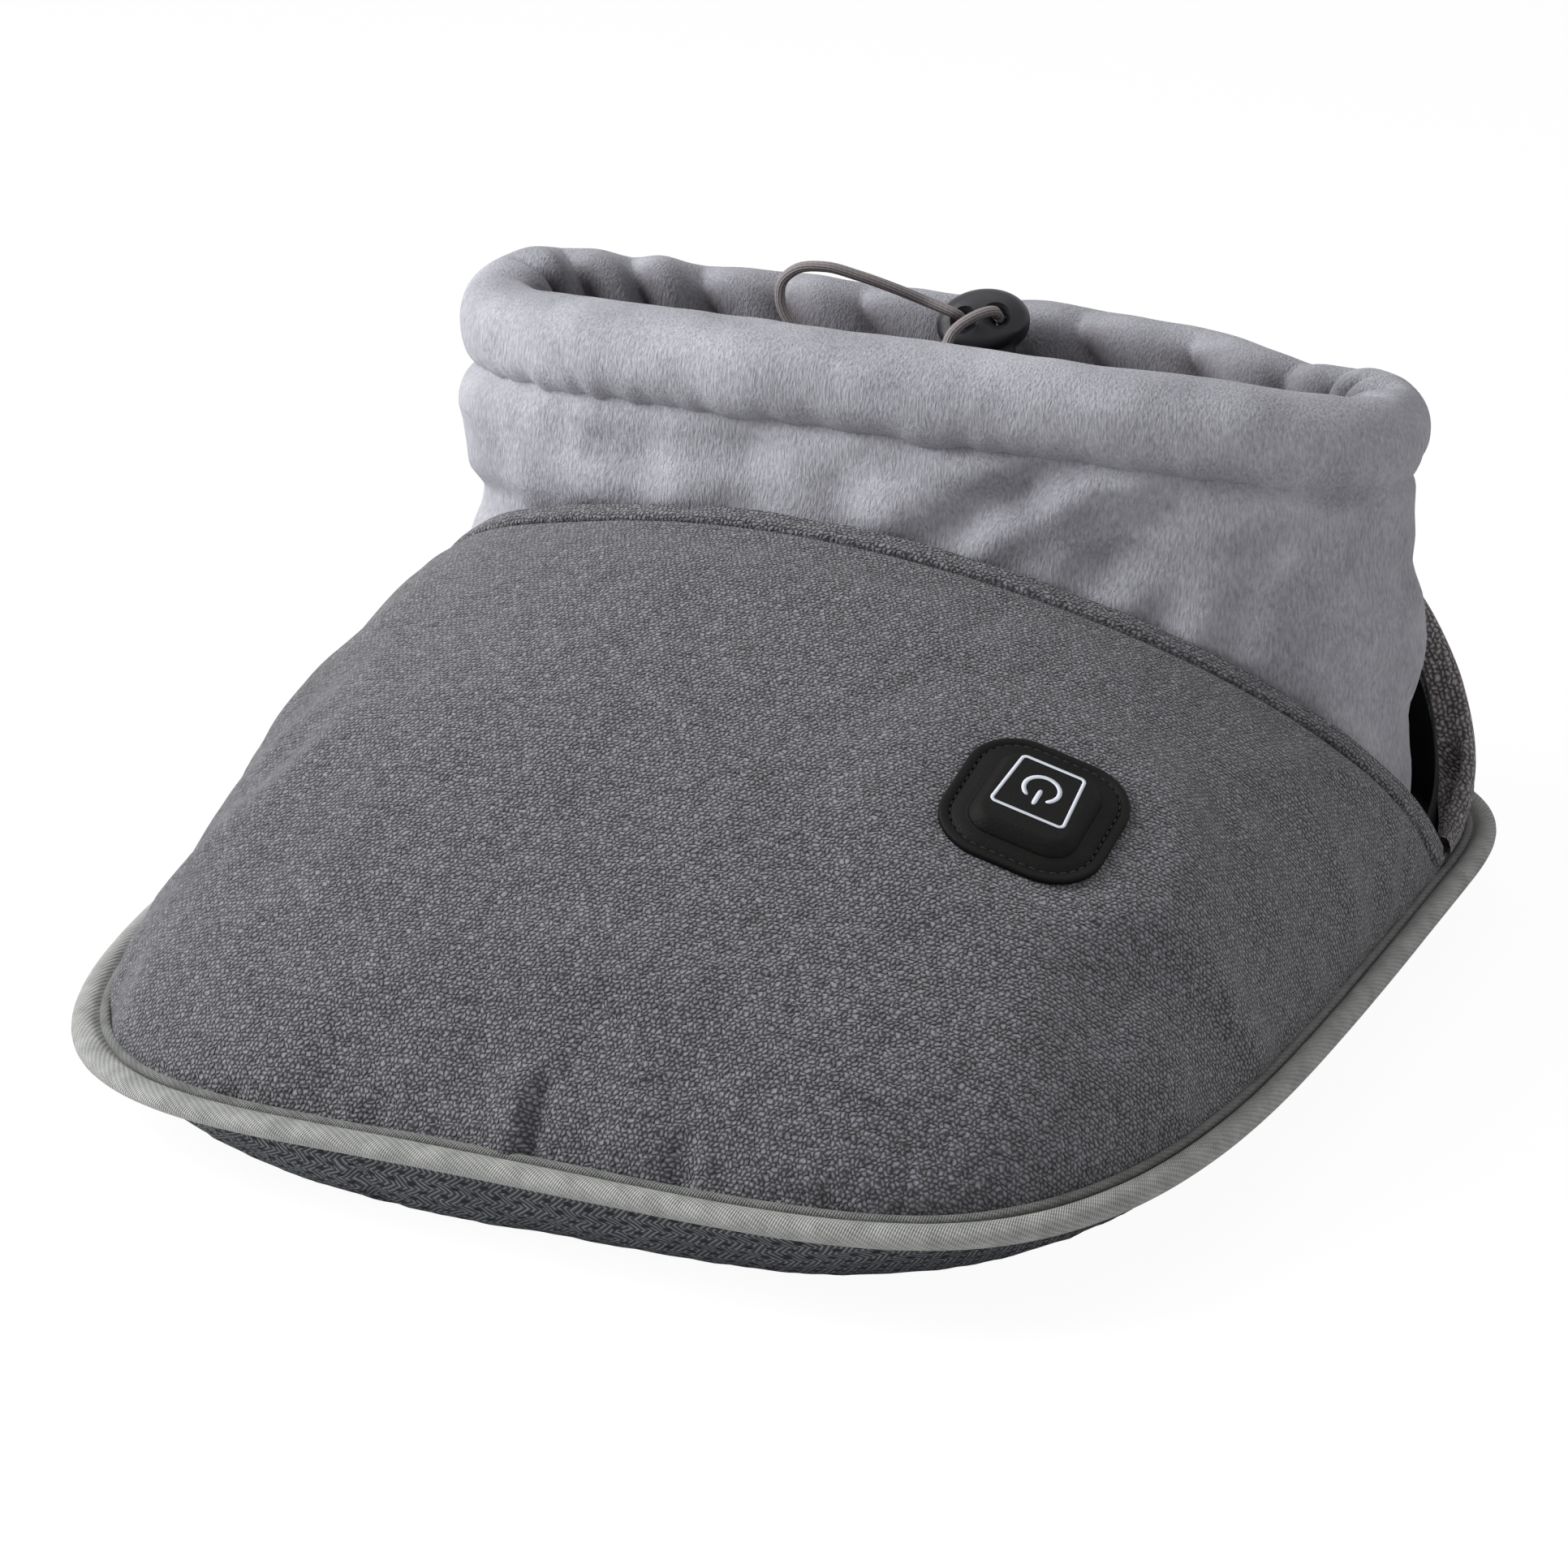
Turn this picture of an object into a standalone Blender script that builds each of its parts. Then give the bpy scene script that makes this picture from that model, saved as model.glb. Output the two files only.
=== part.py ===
"""Electric foot warmer: a padded two-foot boot with a heated sole, a plush collar that a drawcord
closes, and a push button on its upper.

Metres, +Z up. X runs to the wearer's left and right, the toe points to -Y and the heel to +Y. The
origin is on the floor, under the middle of the base. An angle round the base or the collar starts
at the right side (+X), reaches the toe at a quarter turn, the left side at a half turn and the heel
at three quarters.
"""

import functools
import math

import bmesh
import bpy
import numpy as np
from mathutils import Matrix, Vector

# Base, as its piping outlines it
BASE_WIDTH = 0.320
BASE_LENGTH = 0.350
WIDEST_SHARE = 0.75  # of the length, from the toe
TOE_SQUARENESS = 4.6  # superellipse exponents
HEEL_SQUARENESS = 3.2
SEAM_HEIGHT = 0.023
TOE_DROOP = 0.0035  # of the seam at its toe corner on the -X side
SEAM_INSET = 0.008
BASE_STATIONS = 56

# Clearances
GAP = 0.0003  # between pieces that touch
OVERRUN = 0.004  # of a cutter past the face that it cuts
QUARTER = math.pi / 2

# Piping round the seam
PIPING_RADIUS = 0.003
TAIL_LENGTH = 0.005
TAIL_THICKNESS = 0.0012
PIPING_SIDES = 8

# Sole
SOLE_FABRIC = 0.002
CONTACT_INSET = 0.022
SOLE_ROUNDNESS = 2.2
CONTACT_SQUARENESS = 3.6
SOLE_ROWS = 4
FOAM_THICKNESS = 0.0145
FOAM_CLEARANCE = 0.0004

# Heater under the insole
MAT_THICKNESS = 0.0012
MAT_INSET = 0.019
HEATING_WIRE_RADIUS = 0.0008
HEATING_RUNS = 10
HEATING_SIDE_ROOM = 0.046  # from the edge of the base to the field of runs
HEATING_TOE_ROOM = 0.067
HEATING_HEEL_ROOM = 0.051
TURN_POINTS = 6
THERMOSTAT_LENGTH = 0.012
THERMOSTAT_WIDTH = 0.006
THERMOSTAT_HEIGHT = 0.003
FUSE_LENGTH = 0.010
FUSE_RADIUS = 0.0013
RETURN_REACH = 0.0154  # of the return wire past the fuse, towards the toe
RETURN_STRAIGHT_SHARE = 0.3
RETURN_CORNER_SHARE = 0.6
RETURN_FAR_SHARE = 1.6

# Insole
INSOLE_THICKNESS = 0.007
INSOLE_INSET = 0.0185
INSOLE_ROUNDING = 0.0022

# Upper over the toes: hem line in plan, its height, and the layers under the cover
HEM_SIDE_ROOM = 0.010
HEM_DEPTH = 0.0565
HEM_HEEL_ROOM = 0.085  # from the heel end of the base to the hem's ends
HEM_LOW = 0.031
HEM_RISE = 0.087
HEM_LEAN_SHARE = 0.10
VAMP_ROUNDNESS = 1.46
VAMP_LEAN_SHARE = 0.096
VAMP_COLUMNS = 30
VAMP_ROWS = 10
COVER_THICKNESS = 0.002
WADDING_EDGE = 0.0018
WADDING_CROWN = 0.0034
LEAD_SPACE = 0.0032
LINING_THICKNESS = 0.0026
HEM_BAND = 0.008
HEM_BULGE = 0.0007

# Heel counter
COUNTER_SIDE_ROOM = 0.010
COUNTER_DEPTH = 0.062
COUNTER_HEEL_ROOM = 0.0825
COUNTER_START_SHARE = 0.00076  # of a quarter turn, past the widest place of the base
COUNTER_SQUARENESS = 3.3
COUNTER_RISE = 0.083
COUNTER_ROUNDNESS = 1.9
COUNTER_COLUMNS = 20
COUNTER_ROWS = 6
COUNTER_HEM_BULGE = 0.0010
PADDING_EDGE = 0.0018
PADDING_CROWN = 0.0022
HEEL_LINING = 0.0008

# Collar: centre line of the rolled rim, and the wall under it
RIM_SIDE_ROOM = 0.0325
RIM_DEPTH = 0.0475
RIM_HEEL_ROOM = 0.0825
RIM_SQUARENESS = 2.15
RIM_HEIGHT = 0.1435
RIM_FRONT_LIFT = 0.0110
RIM_HEEL_DROP = 0.0045
RIM_HALF_THICKNESS = 0.013
RIM_HALF_HEIGHT = 0.0135
RIM_FABRIC = 0.0034
RIM_SIDES = 12
TUNNEL_SIDES = 8
COLLAR_STATIONS = 56
COLLAR_ROWS = 6
WALL_OUTSET = 0.007
WALL_FABRIC = 0.003
SIDE_BULGE = 0.0055
HEEL_DRAW_IN = 0.0055
BULGE_REACH = 0.030
COLLAR_FRONT_LOW = 0.097
FOLD_HEIGHT = 0.0013
FOLDS_ROUND = 11
FOLD_TWIST = 1.14  # radians of phase over the height of the bulge
PLEAT_HEIGHT = 0.0016
PLEATS_ROUND = 23

# Drawcord, its pull loop and the two-hole cord lock. Places are seen from the rim's middle
CORD_RADIUS = 0.0015
CORD_CLEARANCE = 0.0005
STRAND_SPACING = 0.010
CORD_BEND = 0.006
LOCK_FACE = Vector((0.0063, 0.0195, 0.1550))
LOCK_TURN = math.radians(10)
LOCK_TILT = math.radians(30)
LOCK_ROLL = math.radians(18)
LOCK_LENGTH = 0.026
LOCK_HEIGHT = 0.0175
LOCK_DEPTH = 0.012
LOCK_ROUNDING = 0.0042
LOCK_HOLE_RADIUS = 0.0022
WELL_WIDTH = 0.0165
WELL_DEPTH = 0.0066
WELL_HEIGHT = 0.0145
PLUNGER_HEIGHT = 0.0140
PLUNGER_PRESS = 0.0025
SPRING_RADIUS = 0.0020
SPRING_WIRE = 0.0002
SPRING_TURNS = 3
POINTS_A_TURN = 8
LOOP_ROUTE = (
    Vector((-0.0085, 0.0110, 0.1605)),
    Vector((-0.0160, 0.0060, 0.1640)),
    Vector((-0.0262, 0.0005, 0.1678)),
    Vector((-0.0352, -0.0040, 0.1690)),
    Vector((-0.0425, -0.0070, 0.1662)),
    Vector((-0.0458, -0.0080, 0.1605)),
    Vector((-0.0445, -0.0075, 0.1540)),
    Vector((-0.0385, -0.0060, 0.1475)),
    Vector((-0.0300, -0.0045, 0.1415)),
    Vector((-0.0200, -0.0035, 0.1375)),
    Vector((-0.0100, -0.0030, 0.1365)),
    Vector((-0.0010, -0.0020, 0.1392)),
    Vector((0.0045, 0.0005, 0.1450)),
    Vector((0.0065, 0.0040, 0.1520)),
)

# Button patch on the upper, and the switch under it
PATCH_ALONG_SHARE = 0.346  # of the way round the upper, from the right
PATCH_UP_SHARE = 0.603  # of the profile, from the seam
PATCH_WIDTH = 0.0425
PATCH_LENGTH = 0.0460
PATCH_CORNER = 0.0145
PATCH_THICKNESS = 0.0016
FLAT_RADIUS = 0.030
FLAT_BLEND = 0.056
GROOVE_INSET = 0.0029
GROOVE_WIDTH = 0.0008
GROOVE_DEPTH = 0.0006
PAD_WIDTH = 0.0270
PAD_LENGTH = 0.0300
PAD_CORNER = 0.006
PAD_HEIGHT = 0.0055
PAD_EDGE = 0.0013
PAD_WALL = 0.0014
PAD_CLEARANCE = 0.00035
BUTTON_TRAVEL = 0.0008
BOSS_RADIUS = 0.0025
BOSS_LENGTH = 0.0012
HOUSING_WIDTH = 0.0195
HOUSING_LENGTH = 0.0225
HOUSING_DEPTH = 0.0100
HOUSING_WALL = 0.0012
HOUSING_RIM = 0.0018
HOUSING_CLEARANCE = 0.0004
STANDOFF_RADIUS = 0.0013
STANDOFF_HEIGHT = 0.0019
BOARD_THICKNESS = 0.0012
BOARD_CLEARANCE = 0.0005
SWITCH_SIDE = 0.006
SWITCH_HEIGHT = 0.0034
STEM_RADIUS = 0.0017
STEM_CLEARANCE = 0.0003
STEM_ENGAGEMENT = 0.0010
LED_RADIUS = 0.0015
LED_HEIGHT = 0.0040
LED_OFFSET = 0.0062
LEAD_SPREAD = 0.0045

# Supply inlet at the heel, and the leads
INLET_UP_SHARE = 0.30
INLET_RADIUS = 0.0055
INLET_LENGTH = 0.016
INLET_FLANGE_RADIUS = 0.009
INLET_FLANGE = 0.0018
SOCKET_RADIUS = 0.0032
SOCKET_DEPTH = 0.0095
PIN_RADIUS = 0.0010
PIN_SHORTFALL = 0.0010
LEAD_RADIUS = 0.0009
CHANNEL_CLEARANCE = 0.0012
LEAD_START_SHARE = 0.78  # of the way up to the patch
LEAD_END_SHARE = 0.14  # of the profile
LEAD_TURN_SHARE = 0.4  # of the way from the channel to the thermostat

SIDES_ROUND = 20
ROUTE_STEPS = 24
MERGE_DISTANCE = 0.00001
CUTTERS = "cutters"


def signed_power(value, power):
    """Power of a number that keeps its sign, which draws a superellipse."""
    return math.copysign(abs(value) ** power, value)


def smooth(value):
    """Eases a number from 0 to 1 with level ends."""
    value = min(max(value, 0.0), 1.0)
    return value * value * (3 - 2 * value)


def base_outline(angle, inset, toe_squareness=TOE_SQUARENESS, heel_squareness=HEEL_SQUARENESS):
    """Point of the base outline, drawn in from the piping's outer edge by an inset."""
    toe = math.sin(angle) > 0
    squareness = toe_squareness if toe else heel_squareness
    reach = (WIDEST_SHARE if toe else 1 - WIDEST_SHARE) * BASE_LENGTH - inset
    across = (BASE_WIDTH / 2 - inset) * signed_power(math.cos(angle), 2 / squareness)
    along = reach * signed_power(math.sin(angle), 2 / squareness)
    return Vector((across, (WIDEST_SHARE - 0.5) * BASE_LENGTH - along, 0))


def even_angles(start, end, count):
    """Angles that split a stretch of the base outline into equal lengths."""
    fine = np.linspace(start, end, 2001)
    points = np.array([base_outline(angle, SEAM_INSET) for angle in fine])
    steps = np.linalg.norm(np.diff(points, axis=0), axis=1)
    length = np.concatenate([[0], np.cumsum(steps)])
    return [float(a) for a in np.interp(np.linspace(0, length[-1], count), length, fine)]


def raised(point, height):
    return Vector((point.x, point.y, height))


def seam_height(angle):
    """Height of the seam, which sags a little at one toe corner."""
    corner = max(-2 * math.sin(angle) * math.cos(angle), 0) if math.sin(angle) > 0 else 0
    return SEAM_HEIGHT - TOE_DROOP * corner**0.7


# Soft surfaces, as functions of a place along (0 to 1) and a place up (0 to 1)


def dome(low, high, up, roundness):
    """Point on a bulging profile that rises steeply from its low end and levels at its high one."""
    angle = min(max(up, 0.0), 1.0) * QUARTER
    over = 1 - math.cos(angle) ** (2 / roundness)
    rise = math.sin(angle) ** (2 / roundness)
    point = low.lerp(high, over)
    point.z = low.z + (high.z - low.z) * rise
    return point


def surface_normal(surface, along, up):
    """Outward normal of a surface that runs clockwise along, seen from above, and upwards."""
    step = 0.004
    left, right = max(along - step, 0), min(along + step, 1)
    low, high = max(up - step, 0), min(up + step, 1)
    sideways = surface(right, up) - surface(left, up)
    upwards = surface(along, high) - surface(along, low)
    return upwards.cross(sideways).normalized()


VAMP_ANGLES = even_angles(0, math.pi, 241)
COUNTER_START = QUARTER * COUNTER_START_SHARE
HEEL_ANGLES = even_angles(2 * math.pi - COUNTER_START, math.pi + COUNTER_START, 241)


def angle_along(angles, along):
    place = min(max(along, 0.0), 1.0) * (len(angles) - 1)
    whole = min(int(place), len(angles) - 2)
    return angles[whole] + (angles[whole + 1] - angles[whole]) * (place - whole)


def hem_line(angle):
    """Free upper edge of the vamp. It is a little higher on the wearer's right."""
    lift = math.sin(angle) * (1 - HEM_LEAN_SHARE * math.cos(angle))
    return Vector(
        (
            (BASE_WIDTH / 2 - HEM_SIDE_ROOM) * math.cos(angle),
            BASE_LENGTH / 2 - HEM_HEEL_ROOM - HEM_DEPTH * math.sin(angle),
            HEM_LOW + HEM_RISE * lift,
        )
    )


def bare_vamp(along, up):
    angle = angle_along(VAMP_ANGLES, along)
    low = raised(base_outline(angle, SEAM_INSET), seam_height(angle) + TAIL_THICKNESS / 2 + GAP)
    roundness = VAMP_ROUNDNESS * (1 + VAMP_LEAN_SHARE * math.cos(math.pi * along))
    return dome(low, hem_line(math.pi * along), up, roundness)


PATCH_CENTRE = bare_vamp(PATCH_ALONG_SHARE, PATCH_UP_SHARE)
PATCH_NORMAL = surface_normal(bare_vamp, PATCH_ALONG_SHARE, PATCH_UP_SHARE)
PATCH_RIGHT = (Vector((1, 0, 0)) - PATCH_NORMAL * PATCH_NORMAL.x).normalized()
PATCH_FRAME = Matrix.Translation(PATCH_CENTRE) @ Matrix(
    (PATCH_RIGHT, PATCH_NORMAL.cross(PATCH_RIGHT), PATCH_NORMAL)
).transposed().to_4x4()


def vamp_surface(along, up):
    """Outer face of the vamp, which lies flat under the button patch."""
    point = bare_vamp(along, up)
    away = point - PATCH_CENTRE
    height = away.dot(PATCH_NORMAL)
    distance = (away - PATCH_NORMAL * height).length
    share = 1 - smooth((distance - FLAT_RADIUS) / (FLAT_BLEND - FLAT_RADIUS))
    return point - PATCH_NORMAL * height * share


def counter_line(angle):
    """Free upper edge of the heel counter, from the right side (0) round the heel."""
    half_width = BASE_WIDTH / 2 - COUNTER_SIDE_ROOM
    round_heel = COUNTER_DEPTH * signed_power(math.sin(angle), 2 / COUNTER_SQUARENESS)
    return Vector(
        (
            half_width * signed_power(math.cos(angle), 2 / COUNTER_SQUARENESS),
            BASE_LENGTH / 2 - COUNTER_HEEL_ROOM + round_heel,
            HEM_LOW + COUNTER_RISE * math.sin(angle) ** 1.2,
        )
    )


def counter_surface(along, up):
    """Outer face of the heel counter, which runs from the left side round the heel to the right."""
    seam = SEAM_HEIGHT + TAIL_THICKNESS / 2 + GAP
    low = raised(base_outline(angle_along(HEEL_ANGLES, 1 - along), SEAM_INSET), seam)
    return dome(low, counter_line(math.pi * (1 - along)), up, COUNTER_ROUNDNESS)


def layer(surface, depth):
    """Surface at a depth under another. The depth is a function of the same two places."""

    def under(along, up):
        return surface(along, up) - surface_normal(surface, along, up) * depth(along, up)

    return under


def puff(along, up):
    """Share of its crown that a sewn pad has: none at its seams."""
    if not (0 < along < 1 and 0 < up < 1):
        return 0.0
    return (math.sin(math.pi * along) * math.sin(math.pi * up)) ** 0.5


def wadding_top(along, up):
    return COVER_THICKNESS + GAP


def wadding_under(along, up):
    return wadding_top(along, up) + WADDING_EDGE + WADDING_CROWN * puff(along, up)


def lining_top(along, up):
    return wadding_under(along, up) + LEAD_SPACE + GAP


def lining_under(along, up):
    return lining_top(along, up) + LINING_THICKNESS


def padding_under(along, up):
    return wadding_top(along, up) + PADDING_EDGE + PADDING_CROWN * puff(along, up)


def heel_lining_top(along, up):
    return padding_under(along, up) + GAP


def heel_lining_under(along, up):
    return heel_lining_top(along, up) + HEEL_LINING


def even_depth(depth):
    return lambda along, up: depth


# Collar

RIM_HALF_WIDTH = BASE_WIDTH / 2 - RIM_SIDE_ROOM
RIM_MIDDLE = Vector((0, BASE_LENGTH / 2 - RIM_HEEL_ROOM, 0))


def rim_plan(angle, outset):
    """Point round the rim's centre line in plan, moved outwards by an outset."""
    power = 2 / RIM_SQUARENESS
    point = Vector(
        (
            RIM_HALF_WIDTH * signed_power(math.cos(angle), power),
            RIM_MIDDLE.y - RIM_DEPTH * signed_power(math.sin(angle), power),
            0,
        )
    )
    slope = 2 - power
    outward = Vector(
        (
            signed_power(math.cos(angle), slope) / RIM_HALF_WIDTH,
            -signed_power(math.sin(angle), slope) / RIM_DEPTH,
            0,
        )
    ).normalized()
    return point + outward * outset


def rim_height(angle):
    lift = math.sin(angle)
    return RIM_HEIGHT + (RIM_FRONT_LIFT if lift > 0 else RIM_HEEL_DROP) * signed_power(lift, 1.5)


def wall_top(angle):
    return rim_height(angle) - RIM_HALF_HEIGHT - GAP


def wall_bottom(angle):
    insole_top = INSOLE_BASE + INSOLE_THICKNESS + GAP
    return insole_top + (COLLAR_FRONT_LOW - insole_top) * max(math.sin(angle), 0) ** 0.9


def fold(angle, below):
    """Soft folds of the collar: slanting ones in front, upright pleats at the heel."""
    front = smooth(math.sin(angle) * 2)
    heel = smooth(-math.sin(angle) * 2)
    slack = math.sin(math.pi * min(below / (2 * BULGE_REACH), 1))
    slanting = math.sin(FOLDS_ROUND * angle + FOLD_TWIST * below / BULGE_REACH)
    upright = math.sin(PLEATS_ROUND * angle)
    return slack * (front * FOLD_HEIGHT * slanting + heel * PLEAT_HEIGHT * upright)


def collar_point(angle, height, depth):
    """Point of the collar wall at a depth inwards from its outer face."""
    below = wall_top(angle) - height
    eased = smooth(below / BULGE_REACH)
    side, heel = math.cos(angle) ** 2, max(-math.sin(angle), 0) ** 2
    outset = WALL_OUTSET + eased * (side * SIDE_BULGE - heel * HEEL_DRAW_IN)
    return raised(rim_plan(angle, outset + fold(angle, below) - depth), height)


def rim_section(angle, sides, drawn_in):
    """Closed section of the rolled rim, or of its tunnel when it is drawn in by the fabric."""
    points = []
    for side in range(sides):
        turn = 2 * math.pi * side / sides
        outset = (RIM_HALF_THICKNESS - drawn_in) * math.cos(turn)
        lift = (RIM_HALF_HEIGHT - drawn_in) * math.sin(turn)
        points.append(raised(rim_plan(angle, outset), rim_height(angle) + lift))
    return points


# Objects


def collection(name, hidden=False):
    made = bpy.data.collections.new(name)
    made.hide_render = hidden
    bpy.context.scene.collection.children.link(made)
    return made


def material(name, colour, roughness, metallic=0.0):
    made = bpy.data.materials.new(name)
    made.use_nodes = True
    shader = made.node_tree.nodes["Principled BSDF"]
    shader.inputs["Base Color"].default_value = (*colour, 1)
    shader.inputs["Roughness"].default_value = roughness
    shader.inputs["Metallic"].default_value = metallic
    made.diffuse_color = (*colour, 1)
    return made


def add_object(name, data, finish=None):
    """Puts an object in the foot warmer's collection, or among the cutters when it has no finish."""
    made = bpy.data.objects.new(name, data)
    bpy.data.collections["foot_warmer" if finish else CUTTERS].objects.link(made)
    if finish:
        data.materials.append(finish)
    else:
        made.hide_render = True
        made.display_type = "WIRE"
    return made


def object_from_bmesh(name, shape, finish=None, smooth_shaded=True):
    mesh = bpy.data.meshes.new(name)
    bmesh.ops.recalc_face_normals(shape, faces=shape.faces)
    shape.to_mesh(mesh)
    shape.free()
    if smooth_shaded:
        mesh.shade_smooth()
    mesh.set_sharp_from_angle(angle=math.radians(50))
    return add_object(name, mesh, finish)


def join_sections(shape, sections, closed, outer_points=None):
    """Skins a row of matching sections with triangles.

    Past the first outer_points of a section its quads are split along their other diagonal, so that
    the inner skin of one layer and the outer skin of the next one bend alike."""
    rings = [[shape.verts.new(point) for point in section] for section in sections]
    pairs = zip(rings, rings[1:] + rings[:1]) if closed else zip(rings, rings[1:])
    for near, far in pairs:
        for i in range(len(near)):
            j = (i + 1) % len(near)
            if outer_points and i >= outer_points:
                near_corner, far_corner = j, i
            else:
                near_corner, far_corner = i, j
            shape.faces.new((near[i], near[j], far[far_corner]))
            shape.faces.new((near[near_corner], far[j], far[i]))
    return rings


def ring_loft(name, sections, finish, outer_points=None):
    """Closed solid from sections that follow one another round a ring."""
    shape = bmesh.new()
    join_sections(shape, sections, closed=True, outer_points=outer_points)
    return object_from_bmesh(name, shape, finish)


def panel(name, outer, inner, alongs, ups, finish):
    """Closed solid between two surfaces, over the same places along and up."""
    sections = []
    for along in alongs:
        section = [outer(along, up) for up in ups]
        section += [inner(along, up) for up in reversed(ups)]
        sections.append(section)
    shape = bmesh.new()
    rings = join_sections(shape, sections, closed=False, outer_points=len(ups))
    count = 2 * len(ups)
    for ring in (rings[0], rings[-1]):
        for i in range(len(ups) - 1):
            shape.faces.new((ring[i], ring[i + 1], ring[count - 2 - i], ring[count - 1 - i]))
    return object_from_bmesh(name, shape, finish)


def shares(start, end, count):
    return [start + (end - start) * i / count for i in range(count + 1)]


def modifier(obj, kind, **settings):
    made = obj.modifiers.new(kind.title(), kind)
    for key, value in settings.items():
        setattr(made, key, value)
    return made


def cut(obj, cutter):
    modifier(obj, "BOOLEAN", operation="DIFFERENCE", object=cutter, solver="EXACT")


def unite(obj, other):
    modifier(obj, "BOOLEAN", operation="UNION", object=other, solver="EXACT")


def box(name, size, centre, frame=None, finish=None):
    """Box in a frame, centred on a point of that frame."""
    shape = bmesh.new()
    bmesh.ops.create_cube(shape, size=1)
    bmesh.ops.scale(shape, vec=size, verts=shape.verts)
    bmesh.ops.translate(shape, vec=centre, verts=shape.verts)
    made = object_from_bmesh(name, shape, finish, smooth_shaded=False)
    made.matrix_world = frame or Matrix()
    return made


def rounded_box(name, size, corner, centre, frame=None, finish=None):
    """Box whose upright edges are rounded."""
    shape = bmesh.new()
    bmesh.ops.create_cube(shape, size=1)
    bmesh.ops.scale(shape, vec=size, verts=shape.verts)
    upright = [e for e in shape.edges if abs(e.verts[0].co.z - e.verts[1].co.z) > size[2] / 2]
    bmesh.ops.bevel(
        shape, geom=upright, offset=corner, segments=5, profile=0.5, affect="EDGES", material=-1
    )
    bmesh.ops.translate(shape, vec=centre, verts=shape.verts)
    made = object_from_bmesh(name, shape, finish)
    made.matrix_world = frame or Matrix()
    return made


def rod(name, radius, low, high, centre, frame=None, finish=None, sides=SIDES_ROUND):
    """Cylinder along its frame's Z, from a low to a high end, about a centre in X and Y."""
    shape = bmesh.new()
    bmesh.ops.create_cone(
        shape, cap_ends=True, segments=sides, radius1=radius, radius2=radius, depth=high - low
    )
    bmesh.ops.translate(shape, vec=(centre[0], centre[1], (low + high) / 2), verts=shape.verts)
    made = object_from_bmesh(name, shape, finish)
    made.matrix_world = frame or Matrix()
    return made


def turned(name, outline, frame, finish):
    """Screw about the frame's Z of an outline of (radius, height), down its outer side."""
    mesh = bpy.data.meshes.new(name)
    points = [(radius, 0, height) for radius, height in outline]
    mesh.from_pydata(points, [(i, i + 1) for i in range(len(points) - 1)], [])
    made = add_object(name, mesh, finish)
    made.matrix_world = frame
    modifier(
        made, "SCREW", steps=SIDES_ROUND, render_steps=SIDES_ROUND, use_merge_vertices=True,
        merge_threshold=MERGE_DISTANCE, use_smooth_shade=True,
    )
    return made


def smooth_route(route, spacing):
    """Points of a route: straight in its first and last stretch, and a smooth curve between them
    with points a set distance apart."""
    points = route[1:-1]
    steps = [after - before for before, after in zip(points, points[1:])]
    lengths = [step.length for step in steps]
    slopes = [(route[1] - route[0]).normalized()]
    for before, after, near, far in zip(steps, steps[1:], lengths, lengths[1:]):
        slopes.append((before * (far / near) + after * (near / far)) / (near + far))
    slopes.append((route[-1] - route[-2]).normalized())
    fine = []
    for start, end, out, into, length in zip(points, points[1:], slopes, slopes[1:], lengths):
        for i in range(ROUTE_STEPS):
            t = i / ROUTE_STEPS
            middle = start * ((1 - t) ** 2 * (1 + 2 * t)) + end * (t**2 * (3 - 2 * t))
            fine.append(middle + out * (length * t * (1 - t) ** 2) - into * (length * t**2 * (1 - t)))
    fine.append(points[-1])
    length = np.concatenate([[0], np.cumsum([(b - a).length for a, b in zip(fine, fine[1:])])])
    count = max(round(length[-1] / spacing), 2)
    places = np.linspace(0, length[-1], count + 1)
    columns = [np.interp(places, length, [p[axis] for p in fine]) for axis in range(3)]
    return [route[0], *[Vector(point) for point in zip(*columns)], route[-1]]


def tube(name, points, radius, finish, resolution=1):
    """Tube along points: a poly curve with a round bevel and filled caps."""
    curve = bpy.data.curves.new(name, "CURVE")
    curve.dimensions = "3D"
    curve.bevel_depth = radius
    curve.bevel_resolution = resolution
    curve.use_fill_caps = True
    spline = curve.splines.new("POLY")
    spline.points.add(len(points) - 1)
    for spot, point in zip(spline.points, points):
        spot.co = (*point, 1)
    spline.use_smooth = True
    return add_object(name, curve, finish)


# Sole

FOAM_BASE = SOLE_FABRIC + FOAM_CLEARANCE
MAT_BASE = FOAM_BASE + FOAM_THICKNESS + GAP
HEATER_LEVEL = MAT_BASE + MAT_THICKNESS + GAP
INSOLE_BASE = HEATER_LEVEL + THERMOSTAT_HEIGHT + GAP
HEATING_FIELD_WIDTH = BASE_WIDTH - 2 * HEATING_SIDE_ROOM
HEATING_FIELD_TOE = HEATING_TOE_ROOM - BASE_LENGTH / 2
HEATING_FIELD_HEEL = BASE_LENGTH / 2 - HEATING_HEEL_ROOM


def sole_ring(share, drawn_in, lift):
    """Ring of the pillow-shaped sole, from the floor (0) to the seam (1).

    drawn_in moves it inwards and lift upwards, for what lies inside it."""
    turn = share * QUARTER
    over = math.cos(turn) ** (2 / SOLE_ROUNDNESS)
    rise = math.sin(turn) ** (2 / SOLE_ROUNDNESS)
    inset = SEAM_INSET + (CONTACT_INSET - SEAM_INSET) * (1 - rise) + drawn_in
    toe = TOE_SQUARENESS + (CONTACT_SQUARENESS - TOE_SQUARENESS) * over
    heel = HEEL_SQUARENESS + (CONTACT_SQUARENESS - HEEL_SQUARENESS) * over
    height = (1 - math.cos(turn)) ** 0.9
    seam = TAIL_THICKNESS / 2 + GAP
    return [
        raised(base_outline(angle, inset, toe, heel), (seam_height(angle) - seam) * height + lift)
        for angle in even_angles(0, 2 * math.pi, BASE_STATIONS + 1)[:-1]
    ]


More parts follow.
